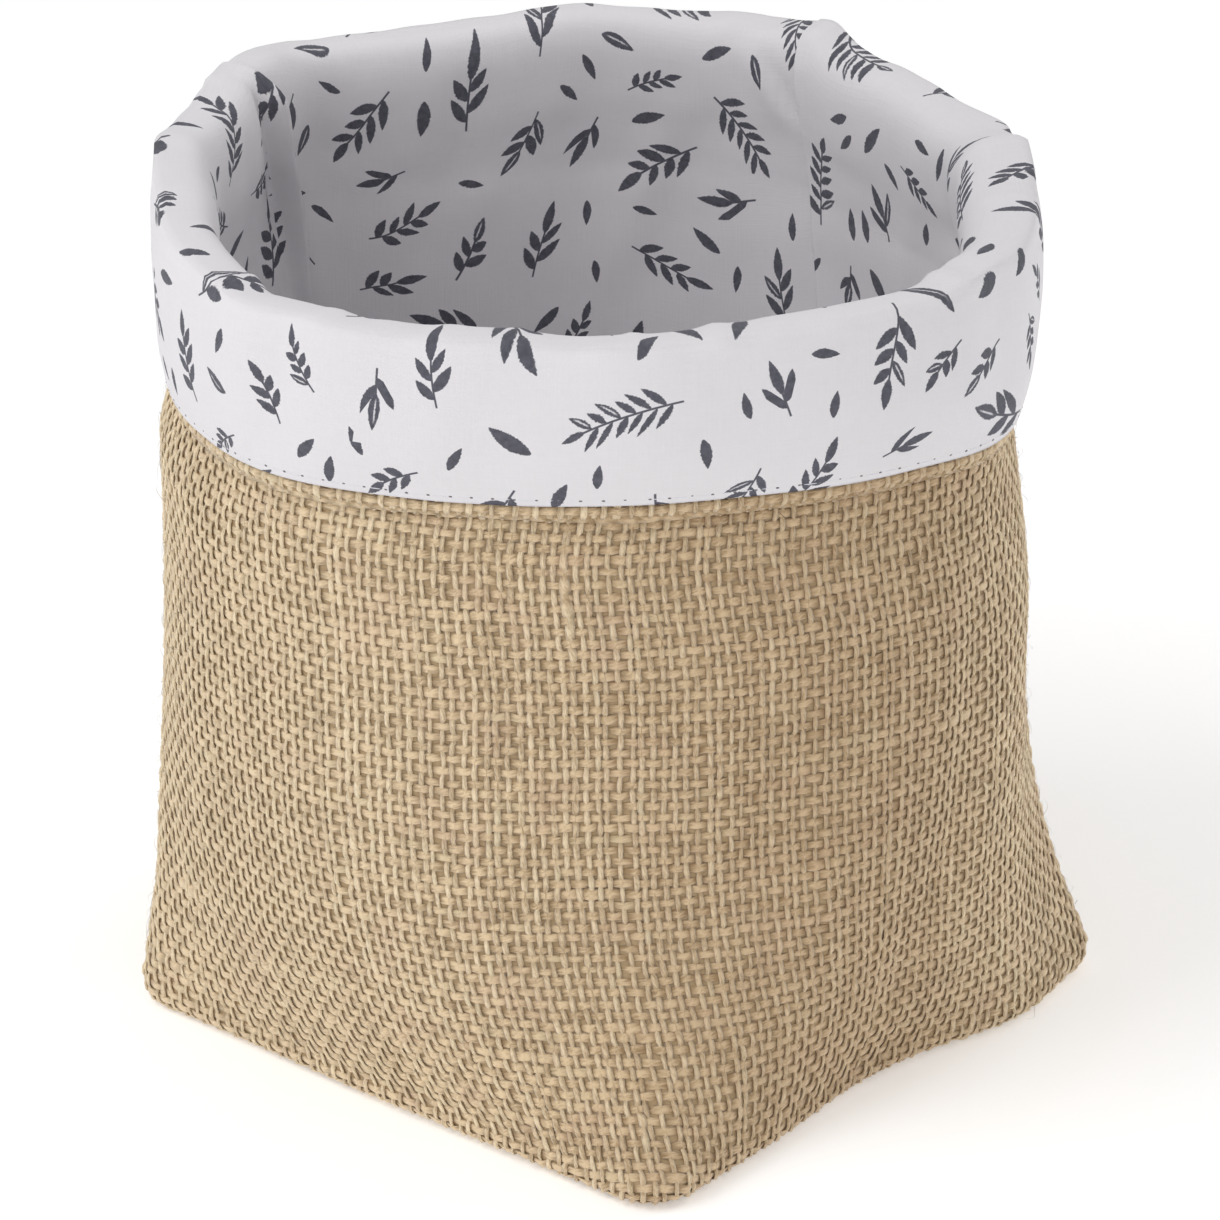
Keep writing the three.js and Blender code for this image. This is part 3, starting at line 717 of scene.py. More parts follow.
distances = np.sort(np.concatenate([
    ROLL_CROSSWISE_AT - EITHER_SIDE, ROLL_CROSSWISE_AT + EITHER_SIDE,
    ROLL_STARTS, [roll_run[-1] - ROLL_ENDS]]))
shape = (UPRIGHT_YARNS, len(distances))
steps = own_step[:, None] + straying(shape, 1.0, ROLL_UPRIGHT["stray"]) + ROLL_SHIFT
place = at_steps(on_roll(distances), steps.T).transpose(1, 0, 2)
row_near = np.abs(np.subtract.outer(distances, ROLL_CROSSWISE_AT)).argmin(axis=1)
parity = (np.arange(UPRIGHT_YARNS)[:, None] + row_near[None]) % 2
points, out = lifted(place, np.where(parity == 0, ROLL_UPRIGHT["over"], ROLL_UPRIGHT["under"]))
facts = yarn_facts(1.0 - parity, thickness_along(shape, 1.0, ROLL_UPRIGHT), distances[None])
roll_yarns = [yarns("rolled_edge_uprights", points, out, np.ones(shape, bool), facts,
                    ROLL_UPRIGHT, jute_upright)]
shape = (len(ROLL_CROSSWISE_AT), len(cross_line))
place = at_steps(on_roll(ROLL_CROSSWISE_AT), np.repeat(cross_line[None] + ROLL_SHIFT, shape[0], axis=0))
parity = doubled((np.arange(UPRIGHT_YARNS + 1)[None] + np.arange(shape[0])[:, None]) % 2)
points, out = lifted(place, np.where(parity == 0, ROLL_CROSSWISE["under"], ROLL_CROSSWISE["over"]))
points[..., 2] += meeting(straying(shape, point_step, ROLL_CROSSWISE["stray"]))
facts = yarn_facts(parity * 1.0, meeting(thickness_along(shape, point_step, ROLL_CROSSWISE)),
                   np.arange(shape[1])[None] * ROW_PITCH / 2, starts=None)
roll_yarns.append(yarns("rolled_edge_crosswise", points, out, np.ones(shape, bool), facts,
                        ROLL_CROSSWISE, jute_crosswise))
for piece in roll_yarns:
    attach(piece, "root")

# The bottom of the jute. It is a square of the same cloth, cut to the foot and sewn in just above the
# floor: a thin sheet, with its yarns on the side towards the floor.
BOTTOM_INSET = FOOT[0][0] + 0.65
BOTTOM_STEPS = 62
JUTE_BASE_LOW, JUTE_BASE_HIGH, BASE_YARNS_AT = 0.85, 1.55, 0.5
BASE_YARN = dict(width=1.5, thickness=0.62, over=0.16, spread=0.12, slubs=12)


def bottom_panel(low, steps, dome=0.0, inset=BOTTOM_INSET):
    """A flat square grid with the foot's rounded outline: points by row and column."""
    side = np.linspace(-1, 1, steps + 1)
    x, y = np.meshgrid(side, side)
    turn = np.degrees(np.arctan2(y, x))
    share = np.maximum(np.abs(x), np.abs(y))
    reach = (wall_reach(turn, low) - inset) * share
    wave = np.sin(x * 5.1 + 1.3) * np.cos(y * 4.3 + 0.4) * (1 - share ** 4) * dome
    return np.stack([reach * np.cos(np.radians(turn)), reach * np.sin(np.radians(turn)), low + wave], -1)


front, back = (bottom_panel(low, BOTTOM_STEPS // 2)[:, ::-1] for low in (JUTE_BASE_LOW, JUTE_BASE_HIGH))
# The bottom sheet carries the same painted shade, seen between its yarns.
jute_base = mesh_object("jute_base_cloth", *thin_sheet(front, back, closed=False), jute_shadow)
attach(jute_base, "root")
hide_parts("jute_base")
base_yarns = []
middle = bottom_panel(BASE_YARNS_AT, BOTTOM_STEPS)
for name, lines, sign in (("along", middle, 1), ("across", middle.transpose(1, 0, 2), -1)):
    shape = lines.shape[:2]
    checker = (np.arange(shape[0])[:, None] + np.arange(shape[1])[None]) % 2 * 2 - 1
    points = lines + np.multiply.outer(checker * BASE_YARN["over"] * sign, [0.0, 0.0, 1.0])
    out = np.broadcast_to([0.0, 0.0, -1.0], points.shape)
    facts = yarn_facts(np.full(shape, 0.5), thickness_along(shape, ROW_PITCH, BASE_YARN),
                       np.arange(shape[1])[None] * ROW_PITCH)
    base_yarns.append(yarns("bottom_yarns_" + name, points, out, np.ones(shape, bool), facts,
                            BASE_YARN, jute_crosswise, sides=4))
for piece in base_yarns:
    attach(piece, "root")

# The cotton lining. White cotton printed with sprigs and single leaves in slate ink lines the inside and
# turns over the top to show outside as the cuff, down to its hem. It is cut in two: a long piece that
# wraps round the front and sides, with its edges folded and lapped over a shorter piece at the back.
COTTON_NEAR, COTTON_FAR = 1.55, 2.0
SEAM_LEFT, SEAM_RIGHT = (-194.0, -171.5), (92.0, 98.0)
LIP_WIDTH, UNDER_WIDTH = 3.2, 2.6
MEAN_REACH = 85.0
FOLD_ENTRY = 6
SEAM_SHARE = [
    (0, 0.11), (7, 0.158), (60, 0.35), (104, 0.44), (117, 0.475), (133, 0.565), (146, 0.61), (155, 0.675),
    (163, 0.785), (172, 0.925), (179, 1.0),
]
OUTSIDE_SHARE = 0.684
EDGE_COLUMNS = [0.0, 0.25, 0.7, 1.2, 1.8, 2.4, 3.0, 3.7, 4.6, 5.8, 7.2, 8.8, 10.6]
COLUMN_WIDTH = 1.95

# The lap at each seam, left and right: how far its edge is lifted off the piece below, the length over
# which it comes down again, the height of the fold that stands up along it, and the hollow beside that
LAPS = {"lift": (2.0, 0.7), "length": (2.6, 8.0), "fold": (3.4, 0.2), "hollow": (2.7, 0.0)}
BEAD_AWAY, BEAD_HALF = 1.35, 1.2
HOLLOW_AWAY, HOLLOW_HALF, HOLLOW_FOOT, HOLLOW_RISE = 5.0, 1.8, 110.0, 45.0
BULGE_AWAY, BULGE_HALF, BULGE_SHARE = 10.5, 3.5, 0.3
LAP_TOP, LAP_FADE = 183.0, 6.5
FOLD_FOOT, FOLD_RISE = 105.0, 45.0
LEAST_OF_LAP = 0.4
DEEPEST = -0.75

# Nips and dips of the fold, where the cotton is pinched: angle, half-width and height
FOLD_NIPS = [
    (-105.5, 1.7, 1.1), (-101.5, 2.2, -0.6), (-90.6, 2.6, 0.6), (-86.5, 3.0, -0.3), (-74.2, 3.6, 0.6),
    (-64.4, 1.8, 0.6), (-46.7, 2.0, 0.6), (-34.1, 2.6, 0.7), (-29.0, 3.0, -0.3), (2.4, 2.2, 1.0),
    (6.5, 2.4, -0.6), (31.0, 2.4, 0.7), (49.0, 2.0, 0.8), (98.0, 2.0, 0.7), (108.0, 2.6, -0.8),
    (113.0, 2.6, 0.6), (-150.0, 3.0, 0.6), (-133.0, 2.4, 0.5),
]
NIPS_TURN, NIPS_SPREAD = 95, 42
PRESSED_EDGE, PRESSED_TURN, PRESSED_SPREAD = 1.1, 48.0, 24.0

# Creases of the inside, seen from it as ridges: angle and height of the two ends, half-width and rise
INSIDE_CREASES = [
    (110.5, 180, 102.0, 163, 2.2, 1.1), (106.5, 179, 99.5, 165, 1.8, -0.9), (120, 168, 131, 120, 5.0, 0.8),
    (150, 175, 158, 130, 6.0, -0.7), (-178, 170, 172, 120, 4.0, 0.6), (70, 172, 78, 130, 5.0, 0.7),
    (45, 168, 52, 120, 4.0, -0.6), (-150, 172, -158, 130, 4.0, 0.7),
]
HEM_FLAT, CREASES_GROW, FOLD_GROWS = 2.6, 5.0, 6.0
FOOT_ROWS_BELOW = 6
CREASE_WAVES, CREASE_SIZE = 14, 0.085
round_out = outward(round_cloth)
lining_rows = np.concatenate([
    np.arange(hem_row - WALL_STEPS - FOOT_ROWS_BELOW, hem_row, 2), np.arange(hem_row, outer_row + 1)])
cuff_row = len(lining_rows) - 1 - (outer_row - hem_row)
fold_row = cuff_row + FOLD_ENTRY * CUFF_SPANS - CUFF_SPANS // 2


def seam_share(row):
    """How far a row is on the way from the bottom of the seams to the fold."""
    past_fold = (row - hem_row) / CUFF_SPANS - FOLD_ENTRY
    if past_fold > 0:
        return 1 - (1 - OUTSIDE_SHARE) * past_fold / FOLD_ENTRY
    return np.interp(round_cloth[row, 0, 2], *zip(*SEAM_SHARE))


def lining_grid(start, end, beyond):
    """Angles of a piece of the lining in rows and columns, the columns' places across it, and its width."""
    shares = np.array([seam_share(row) for row in lining_rows])
    first = start[0] + (start[1] - start[0]) * shares - math.degrees(beyond / MEAN_REACH)
    last = end[0] + (end[1] - end[0]) * shares + math.degrees(beyond / MEAN_REACH)
    width = math.radians(last[-1] - first[-1]) * MEAN_REACH
    edge, inset = np.array(EDGE_COLUMNS[:-1]), EDGE_COLUMNS[-1]
    inner = np.linspace(inset, width - inset, int((width - 2 * inset) / COLUMN_WIDTH))
    run = np.concatenate([edge, inner, width - edge[::-1]])
    return first[:, None] + (last - first)[:, None] * run[None] / width, run, width


def hashed(value, salt):
    """Numbers from 0 to 1 that look random and stay the same."""
    return np.modf(np.abs(np.sin(np.asarray(value) * 12.9898 + salt * 78.233) * 43758.5453))[0]


def small_creases(u, v, salt):
    """Faint dents and ridges of thin cotton, in millimetres, at places on the cloth."""
    total = 0
    for k in range(CREASE_WAVES):
        turn, wavelength = hashed(k, salt) * math.pi, 9 + 26 * hashed(k, salt + 1)
        wave = (u * math.cos(turn) + v * math.sin(turn)) * 2 * math.pi / wavelength
        strength = np.sin(u / (31 + 7 * k) + k) * np.sin(v / (19 + 3 * k) + 2 * k)
        total = total + np.sin(wave + 6.3 * hashed(k, salt + 2)) * strength * wavelength / 26
    return total * CREASE_SIZE


def ridge_between(angle, z, low_angle, low, high_angle, high, half_width, rise):
    """A soft ridge along a line drawn on the wall between two places, dying away at both ends."""
    along = MEAN_REACH * math.radians(turn_between(low_angle, high_angle))
    x, y = MEAN_REACH * np.radians(turn_between(low_angle, angle)), z - low
    length = along ** 2 + (high - low) ** 2
    share = (x * along + y * (high - low)) / length
    across = (x * (high - low) - y * along) / math.sqrt(length)
    return rise * np.exp(-(across / half_width) ** 2) * np.sin(math.pi * np.clip(share, 0, 1)) ** 0.7


def fold_shape(angle, face):
    """How far the cotton stands off its solid at the fold: its pressed edge and the nips along it."""
    turn = np.radians(angle)
    tilt = np.degrees(np.arctan2(face[..., 2], face[..., 0] * np.cos(turn) + face[..., 1] * np.sin(turn)))
    uneven = 0.75 + 0.25 * np.sin(7 * turn + 1.3) + 0.2 * np.sin(19 * turn) + 0.12 * np.sin(43 * turn + 2.0)
    rise = PRESSED_EDGE * uneven * np.exp(-((tilt - PRESSED_TURN) / PRESSED_SPREAD) ** 2)
    nips = sum(ridge(angle, at, MEAN_REACH, half_width, height) for at, half_width, height in FOLD_NIPS)
    return rise + nips * np.exp(-((tilt - NIPS_TURN) / NIPS_SPREAD) ** 2)


def lap_shape(run, width, z, inside):
    """How far the lapped edges stand off: the lift, its fold, the hollow beside it and the bulge after."""
    away = np.minimum(run, width - run)[None]
    side = (run > width / 2)[None]
    lift, length, edge, hollow = (np.where(side, right, left) for left, right in LAPS.values())
    on_wall = smooth((LAP_TOP - z) / LAP_FADE) * inside
    lap = lift * (LEAST_OF_LAP + (1 - LEAST_OF_LAP) * on_wall)
    lap = lap * (1 - smooth((away - LIP_WIDTH - UNDER_WIDTH) / length))
    hollow = hollow * smooth((z - HOLLOW_FOOT) / HOLLOW_RISE)
    edge = edge * (LEAST_OF_LAP + (1 - LEAST_OF_LAP) * smooth((z - FOLD_FOOT) / FOLD_RISE))
    relief = sum(size * np.exp(-((away - centre) / half) ** 2) for size, centre, half in (
        (edge, BEAD_AWAY, BEAD_HALF), (-hollow, HOLLOW_AWAY, HOLLOW_HALF),
        (hollow * BULGE_SHARE, BULGE_AWAY, BULGE_HALF)))
    return lap + on_wall * relief


def lining_piece(name, start, end, beyond, lapped, salt, material):
    """A piece of the lining, and the place of each of its points on the flat cloth."""
    angles, run, width = lining_grid(start, end, beyond)
    steps = (angles - START_CORNER) % FULL_TURN / FULL_TURN * OUTLINE_STEPS
    place = at_steps(np.concatenate([round_cloth, round_out], axis=2)[lining_rows], steps)
    points, out = place[..., :3], place[..., 3:]
    fold_angles = np.unwrap(angles[fold_row], period=FULL_TURN)
    fold_run = np.append(0, np.cumsum(np.linalg.norm(np.diff(points[fold_row], axis=0), axis=1)))
    past_fold = angles - np.clip(angles, fold_angles[0], fold_angles[-1])
    u = np.interp(angles, fold_angles, fold_run) + np.radians(past_fold) * MEAN_REACH
    steps_up = np.linalg.norm(np.diff(points, axis=0), axis=2)
    v = np.vstack([np.cumsum(steps_up[::-1], axis=0)[::-1], np.zeros((1, len(run)))])
    row = np.arange(len(lining_rows))[:, None]
    inside = row < fold_row
    rise = small_creases(u, v, salt) * smooth((v - HEM_FLAT) / CREASES_GROW)
    rise = rise + fold_shape(angles, -out) * (row >= cuff_row) * smooth((v - HEM_FLAT) / FOLD_GROWS)
    for crease in INSIDE_CREASES:
        rise = rise + ridge_between(angles, points[..., 2], *crease) * inside
    if lapped:
        rise = rise + lap_shape(run, width, points[..., 2], inside)
    rise = np.maximum(rise, DEEPEST)
    level = np.linalg.norm(np.diff(points, axis=1), axis=2)
    taken = np.cumsum(np.hypot(level, np.diff(rise, axis=1)) - level, axis=1)
    taken = np.hstack([np.zeros((len(taken), 1)), taken])
    u = u + taken - taken[:, len(run) // 2, None]
    front, back = ((points - out * (off + rise)[..., None])[:, ::-1] for off in (COTTON_FAR, COTTON_NEAR))
    piece = mesh_object(name, *thin_sheet(front, back, closed=False), material)
    return piece, u[:, ::-1], v[:, ::-1]


# The print. Every motif is one sprig or one leaf, laid at any angle and clear of its neighbours; each face
# of the cloth carries the place on the motif nearest to it, and the material draws the leaves there.

# Columns: share of the motifs, pairs of leaves, their pitch, angle from the stem, length and width,
# length of the end leaf, bend of the stem, clear half-width of the whole
MOTIF_COLUMNS = "share pairs pitch lean length width end bend half".split()
MOTIFS = np.array([
    [0.22, 2, 4.7, 40, 7.9, 2.5, 8.4, 0.006, 5.8],
    [0.20, 3, 4.2, 44, 7.0, 2.25, 7.0, -0.007, 5.8],
    [0.15, 5, 3.3, 46, 6.6, 1.8, 5.2, 0.007, 5.5],
    [0.13, 6, 2.9, 52, 6.8, 1.6, 4.8, -0.009, 5.8],
    [0.10, 3, 3.0, 44, 4.8, 1.8, 4.8, 0.014, 4.2],
    [0.10, 2, 3.4, 42, 5.0, 2.0, 5.4, -0.014, 4.2],
    [0.10, 1, 3.4, 32, 8.0, 2.3, 8.4, 0.0, 4.7],
])
SINGLE_LEAF = np.array([0.0, 0, 1.0, 45, 0.0, 2.6, 8.2, 0.012, 1.8])
STEM_BELOW = 2.2
CLEAR_BETWEEN = 1.1
PRINT_MARGIN = 10
SPRIG_SPACING, LEAF_SPACING = 390.0, 300.0
SPRIG_SIZES, LEAF_SIZES = (0.8, 1.16), (0.66, 1.22)
NEAR_ENOUGH = 36.0
POINTS_ALONG = 7
TRIES_FOR_EACH = 50


def motif(column, rows):
    return rows[..., MOTIF_COLUMNS.index(column)]


def laid_out(width, height, salt):
    """The motifs of a piece of the print: kind, start, tip, foot, direction, size and seed of each."""
    random = np.random.default_rng(salt)
    chosen, lines, line_halves, middles = [], [], [], np.empty((0, 2))
    area = (width + 2 * PRINT_MARGIN) * (height + 2 * PRINT_MARGIN)
    for sprigs, spacing in ((True, SPRIG_SPACING), (False, LEAF_SPACING)):
        below = STEM_BELOW if sprigs else 0.0
        count = int(area / spacing)
        laid = tries = 0
        while laid < count and tries < count * TRIES_FOR_EACH:
            tries += 1
            kind = random.choice(len(MOTIFS), p=MOTIFS[:, 0] / MOTIFS[:, 0].sum())
            row = MOTIFS[kind] if sprigs else SINGLE_LEAF
            size = random.uniform(*(SPRIG_SIZES if sprigs else LEAF_SIZES))
            turn = random.uniform(0, 2 * math.pi)
            direction = np.array([math.cos(turn), math.sin(turn)])
            length = (motif("pairs", row) * motif("pitch", row) + motif("end", row) + below) * size
            start = np.array([random.uniform(-PRINT_MARGIN, side + PRINT_MARGIN) for side in (width, height)])
            line = start + direction * np.linspace(0, 1, POINTS_ALONG)[:, None] * length
            taper = np.sin(np.linspace(0.3, 0.8, POINTS_ALONG) * math.pi) if sprigs else np.ones(POINTS_ALONG)
            halves = motif("half", row) * size * taper
            middle = line[POINTS_ALONG // 2]
            near = np.nonzero(np.linalg.norm(middles - middle, axis=1) < NEAR_ENOUGH)[0]
            if any((np.linalg.norm(line[:, None] - lines[k][None], axis=-1)
                    - halves[:, None] - line_halves[k][None]).min() < CLEAR_BETWEEN for k in near):
                continue
            lines.append(line)
            line_halves.append(halves)
            middles = np.vstack([middles, middle])
            foot = start + direction * below * size
            chosen.append([*row, *start, *line[-1], *foot, *direction, size, random.random()])
            laid += 1
    return np.array(chosen)


def nearest_motif(points, starts, tips, halves):
    """The motif whose clear outline is nearest to each point."""
    along = tips - starts
    share = ((points[:, None] - starts[None]) * along[None]).sum(-1) / (along ** 2).sum(-1)
    share = np.clip(share, 0, 1)
    gap = np.linalg.norm(points[:, None] - starts[None] - share[..., None] * along[None], axis=-1)
    return (gap - halves[None]).argmin(axis=1)


def print_on(piece, u, v, salt):
    """Gives each face of a sheet its nearest motif, and each corner its place on that motif."""
    plan = laid_out(u.max(), v.max(), salt)
    starts, tips, feet, directions = (plan[:, len(MOTIF_COLUMNS) + k:][:, :2] for k in (0, 2, 4, 6))
    size, seed = plan[:, -2], plan[:, -1]
    mesh = piece.data
    place = np.stack([u.ravel(), v.ravel()], -1)
    corner = np.empty(len(mesh.loops), np.int32)
    mesh.loops.foreach_get("vertex_index", corner)
    corner = corner % len(place)
    centres = place[corner].reshape(-1, 4, 2).mean(axis=1)
    halves = motif("half", plan) * size
    parts = np.array_split(centres, len(centres) // 4000 + 1)
    owner = np.concatenate([nearest_motif(part, starts, tips, halves) for part in parts])
    mine = np.repeat(owner, 4)
    away, way = place[corner] - feet[mine], directions[mine]
    local = np.stack([(away * way).sum(-1), away[:, 1] * way[:, 0] - away[:, 0] * way[:, 1]], -1)
    for name, values in (("cloth", place[corner]), ("motif", local / size[mine][:, None])):
        mesh.uv_layers.new(name=name).data.foreach_set("uv", values.astype(np.float32).ravel())
    columns = {key: motif(key, plan) for key in MOTIF_COLUMNS}
    columns.update(seed=seed, size=size)
    for name, keys in (
            ("leaves", "pairs pitch lean"), ("leaf_size", "length width end"),
            ("leaf_ways", "bend seed size")):
        values = np.stack([columns[key] for key in keys.split()], -1)[owner]
        layer = mesh.attributes.new(name, "FLOAT_VECTOR", "FACE")
        layer.data.foreach_set("vector", values.astype(np.float32).ravel())


PAPER_THIN, PAPER_THICK = (0.750, 0.731, 0.762), (0.828, 0.808, 0.828)
INK_DARK, INK_WORN = (0.040, 0.040, 0.056), (0.112, 0.112, 0.146)
THREAD_PITCH_U, THREAD_PITCH_V = 0.42, 0.40
PAIR_STAGGER = 0.42
STEM_HALF = 0.2
OPEN_LEAVES = (0.91, 0.92)


def leaf_shape(a, b, length, width, seed, strokes):
    """Ink of one brushed leaf: a along it from its foot, b across it. Some leaves are left open inside."""
    share = (a / length).do("ADD", 0.0, clamp=True)
    swell = (share.do("POWER", 0.85) * math.pi).do("SINE").do("POWER", 0.82)
    rough = (strokes - 0.5) * 0.8
    edge = width * 0.5 * swell + rough * swell.do("POWER", 0.5) - b.do("ABSOLUTE")
    ink = edge.ease(-0.06, 0.14) * a.ease(0.0, 0.25) * (length - a).ease(0.0, 0.2)
    hollow = seed.ease(*OPEN_LEAVES) * share.ease(0.12, 0.3) * (1.0 - share.ease(0.62, 0.85))
    opened = (0.16 + rough * 0.6 - (b - width * 0.06).do("ABSOLUTE")).ease(-0.08, 0.1) * hollow * 0.85
    return ink * (1.0 - opened)


def printed_cotton():
    """White cotton with the motifs of print_on drawn on it, two leaves and a stem at a time."""
    cotton = Material("printed_cotton", 0.86, sheen=0.08)
    x, y, _ = cotton.parts(add_node(cotton.tree, "ShaderNodeUVMap", uv_map="motif"))
    (pairs, pitch, lean), (length, width, end), (bend, seed, _) = [
        cotton.parts(add_node(cotton.tree, "ShaderNodeAttribute", attribute_name=name).outputs["Vector"])
        for name in ("leaves", "leaf_size", "leaf_ways")]
    u, v, _ = cotton.parts(add_node(cotton.tree, "ShaderNodeUVMap", uv_map="cloth"))
    strokes = cotton.noise(cotton.vector(u, v), 2.3, 2.0, 0.6)
    y = y + bend * x * x
    last = pairs * pitch
    sine, cosine = (lean * (math.pi / 180)).do("SINE"), (lean * (math.pi / 180)).do("COSINE")
    marks = []
    for side in (1.0, -1.0):
        off = y * side
        shift = pitch * (0.0 if side > 0 else PAIR_STAGGER)
        slid = (x - off * cosine / sine - shift) / pitch
        count = (slid + 0.5).do("FLOOR")
        foot = count * pitch + shift
        pick = ((count * 12.9898 + seed * 78.233 + side * 3.7).do("SINE") * 43758.5453).do("FRACT")
        second = (pick * 91.7).do("FRACT")
        tilt = (pick - 0.5) * 0.22
        a = (x - foot) * cosine + off * sine
        b = off * cosine - (x - foot) * sine
        b = b - a * tilt * 0.6 + a * a * 0.012
        whole = length * (0.78 + 0.34 * second) * (1.0 - 0.25 * count / (pairs + 0.01))
        there = (count + 0.5).ease(0.0, 0.01) * (pairs - count - 0.5).ease(0.0, 0.01) * off.ease(-0.05, 0.02)
        marks.append(leaf_shape(a, b, whole, width * (0.85 + 0.3 * pick), second, strokes) * there)
    pick = (seed * 57.31).do("FRACT")
    end_leaf = leaf_shape(x - last * 1.0 + 0.2, y + (x - last) * (pick - 0.5) * 0.2,
                          end, width * 1.05, pick, strokes)
    stem = (STEM_HALF + 0.06 * strokes - y.do("ABSOLUTE")).ease(-0.08, 0.08) * (x + STEM_BELOW).ease(0.0, 0.3)
    stem = stem * (last + 0.8 - x).ease(0.0, 0.5) * (pairs - 0.5).ease(0.0, 0.01)
    ink = marks[0].do("MAXIMUM", marks[1]).do("MAXIMUM", end_leaf).do("MAXIMUM", stem)
    mottle = cotton.noise(cotton.vector(u, v), 0.9, 3.0, 0.6)
    grain = cotton.noise(cotton.vector(u * 3.0, v * 0.5), 1.6, 2.0, 0.5)
    slubs = cotton.noise(cotton.vector(u * 2.6, v * 0.09), 1.0, 3.0, 0.6)
    cross_slubs = cotton.noise(cotton.vector(u * 0.09, v * 2.6, 4.0), 1.0, 3.0, 0.6)
    thread_u = (u * (2 * math.pi / THREAD_PITCH_U)).do("SINE")
    thread_v = (v * (2 * math.pi / THREAD_PITCH_V)).do("SINE")
    paper = cotton.mix((slubs + cross_slubs) * 0.5, PAPER_THIN, PAPER_THICK)
    ink_colour = cotton.mix((mottle * 0.75 + grain * 0.35).ease(0.25, 0.85), INK_DARK, INK_WORN)
    colour = cotton.mix(ink * (0.93 + 0.07 * grain), paper, ink_colour)
    return cotton.finish(colour, slubs * 0.5 + cross_slubs * 0.5 + thread_u * thread_v * 0.12, 0.16 * MM)


cotton_print = printed_cotton()
WRAP_SALT, BACK_SALT, BASE_SALT = 11, 23, 37
lining_wrap, u, v = lining_piece("lining_wrap_cloth", SEAM_LEFT, SEAM_RIGHT, LIP_WIDTH, True, 1, cotton_print)
print_on(lining_wrap, u, v, WRAP_SALT)
lining_back, u, v = lining_piece("lining_back_cloth", SEAM_RIGHT, [angle + FULL_TURN for angle in SEAM_LEFT],
                                 UNDER_WIDTH, False, 2, cotton_print)
print_on(lining_back, u, v, BACK_SALT)

# The bottom of the lining. It is a square of the same print that lies on the jute bottom, a little wavy.
LINING_BASE_LOW, LINING_BASE_HIGH, LINING_BASE_INSET = 2.6, 3.1, 2.0
LINING_BASE_STEPS, LINING_BASE_WAVE = 70, 0.35
front, back = (bottom_panel(low, LINING_BASE_STEPS, LINING_BASE_WAVE, LINING_BASE_INSET)
               for low in (LINING_BASE_HIGH, LINING_BASE_LOW))
lining_base = mesh_object("lining_base_cloth", *thin_sheet(front, back, closed=False), cotton_print)
print_on(lining_base, front[..., 0] + BASE_SIDE / 2, front[..., 1] + BASE_SIDE / 2, BASE_SALT)
for piece, node, flat, held, rests in (
        (lining_wrap, "lining_wrap", (0.409, 0.213), "stretched", "jute_wall"),
        (lining_back, "lining_back", (0.137, 0.213), "stretched", "jute_wall"),
        (lining_base, "lining_base", (0.146, 0.146), "laid", "jute_base")):
    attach(piece, "root")
    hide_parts(node)

# The topstitching. One row of machine stitches holds the cuff's hem; the white thread sinks into the
# cotton, so mostly its needle holes show, as a line of small dots darkened with painted shade. Sizes:
# length, width, depth.
STITCH_LENGTH = 4.15
STITCH_ABOVE_HEM = 1.75
THREAD_SIZE, THREAD_SUNK = (2.9, 0.3, 0.26), 0.06
HOLE_SIZE, HOLE_SUNK = (0.76, 0.5, 0.26), 0.05
ALONG_STRAY, HEIGHT_STRAY = 0.12, 0.07
stitch_random = np.random.default_rng(8)


def stitch_tree():
    """Sets a small rounded shape on each point of a seam, turned along it and square to the cloth."""
    tree, given = node_tree("stitches_along_seam", Points="Geometry", Size="Vector", Material="Material")
    ball = add_node(tree, "GeometryNodeMeshUVSphere", {"Segments": 8, "Rings": 5, "Radius": 0.5})
    shape = add_node(tree, "GeometryNodeTransform", {"Geometry": ball, "Scale": given["Size"]})
    turned = add_node(tree, "FunctionNodeAxesToRotation", {
        0: read_attribute(tree, "out", "FLOAT_VECTOR"), 1: read_attribute(tree, "way", "FLOAT_VECTOR")},
        primary_axis="Z", secondary_axis="X")
    set_on = add_node(tree, "GeometryNodeInstanceOnPoints", {
        "Points": given["Points"], "Instance": shape, "Rotation": turned})
    finish_tree(tree, set_on, given["Material"])
    return tree


def thread_material(name, first, second):
    thread = Material(name, 0.8)
    twist = thread.noise(thread.place(), 2600.0, 2.0)
    return thread.finish(thread.mix(twist, first, second), twist, 0.05 * MM)


stitches_along_seam = stitch_tree()
seam = np.concatenate([round_cloth, round_out], axis=2)[outer_row - 3:outer_row + 1]
above_hem = seam[:, :, 2] - seam[3:, :, 2]
share = np.array([np.interp(STITCH_ABOVE_HEM, heights[::-1], [3, 2, 1, 0]) for heights in above_hem.T])
low = np.minimum(share.astype(int), 2)
part = (share - low)[:, None]
every = np.arange(OUTLINE_STEPS)
line = seam[low, every] * (1 - part) + seam[low + 1, every] * part
line = np.vstack([line, line[:1]])
line_run = np.append(0, np.cumsum(np.linalg.norm(np.diff(line[:, :3], axis=0), axis=1)))
stitch_count = int(line_run[-1] / STITCH_LENGTH)


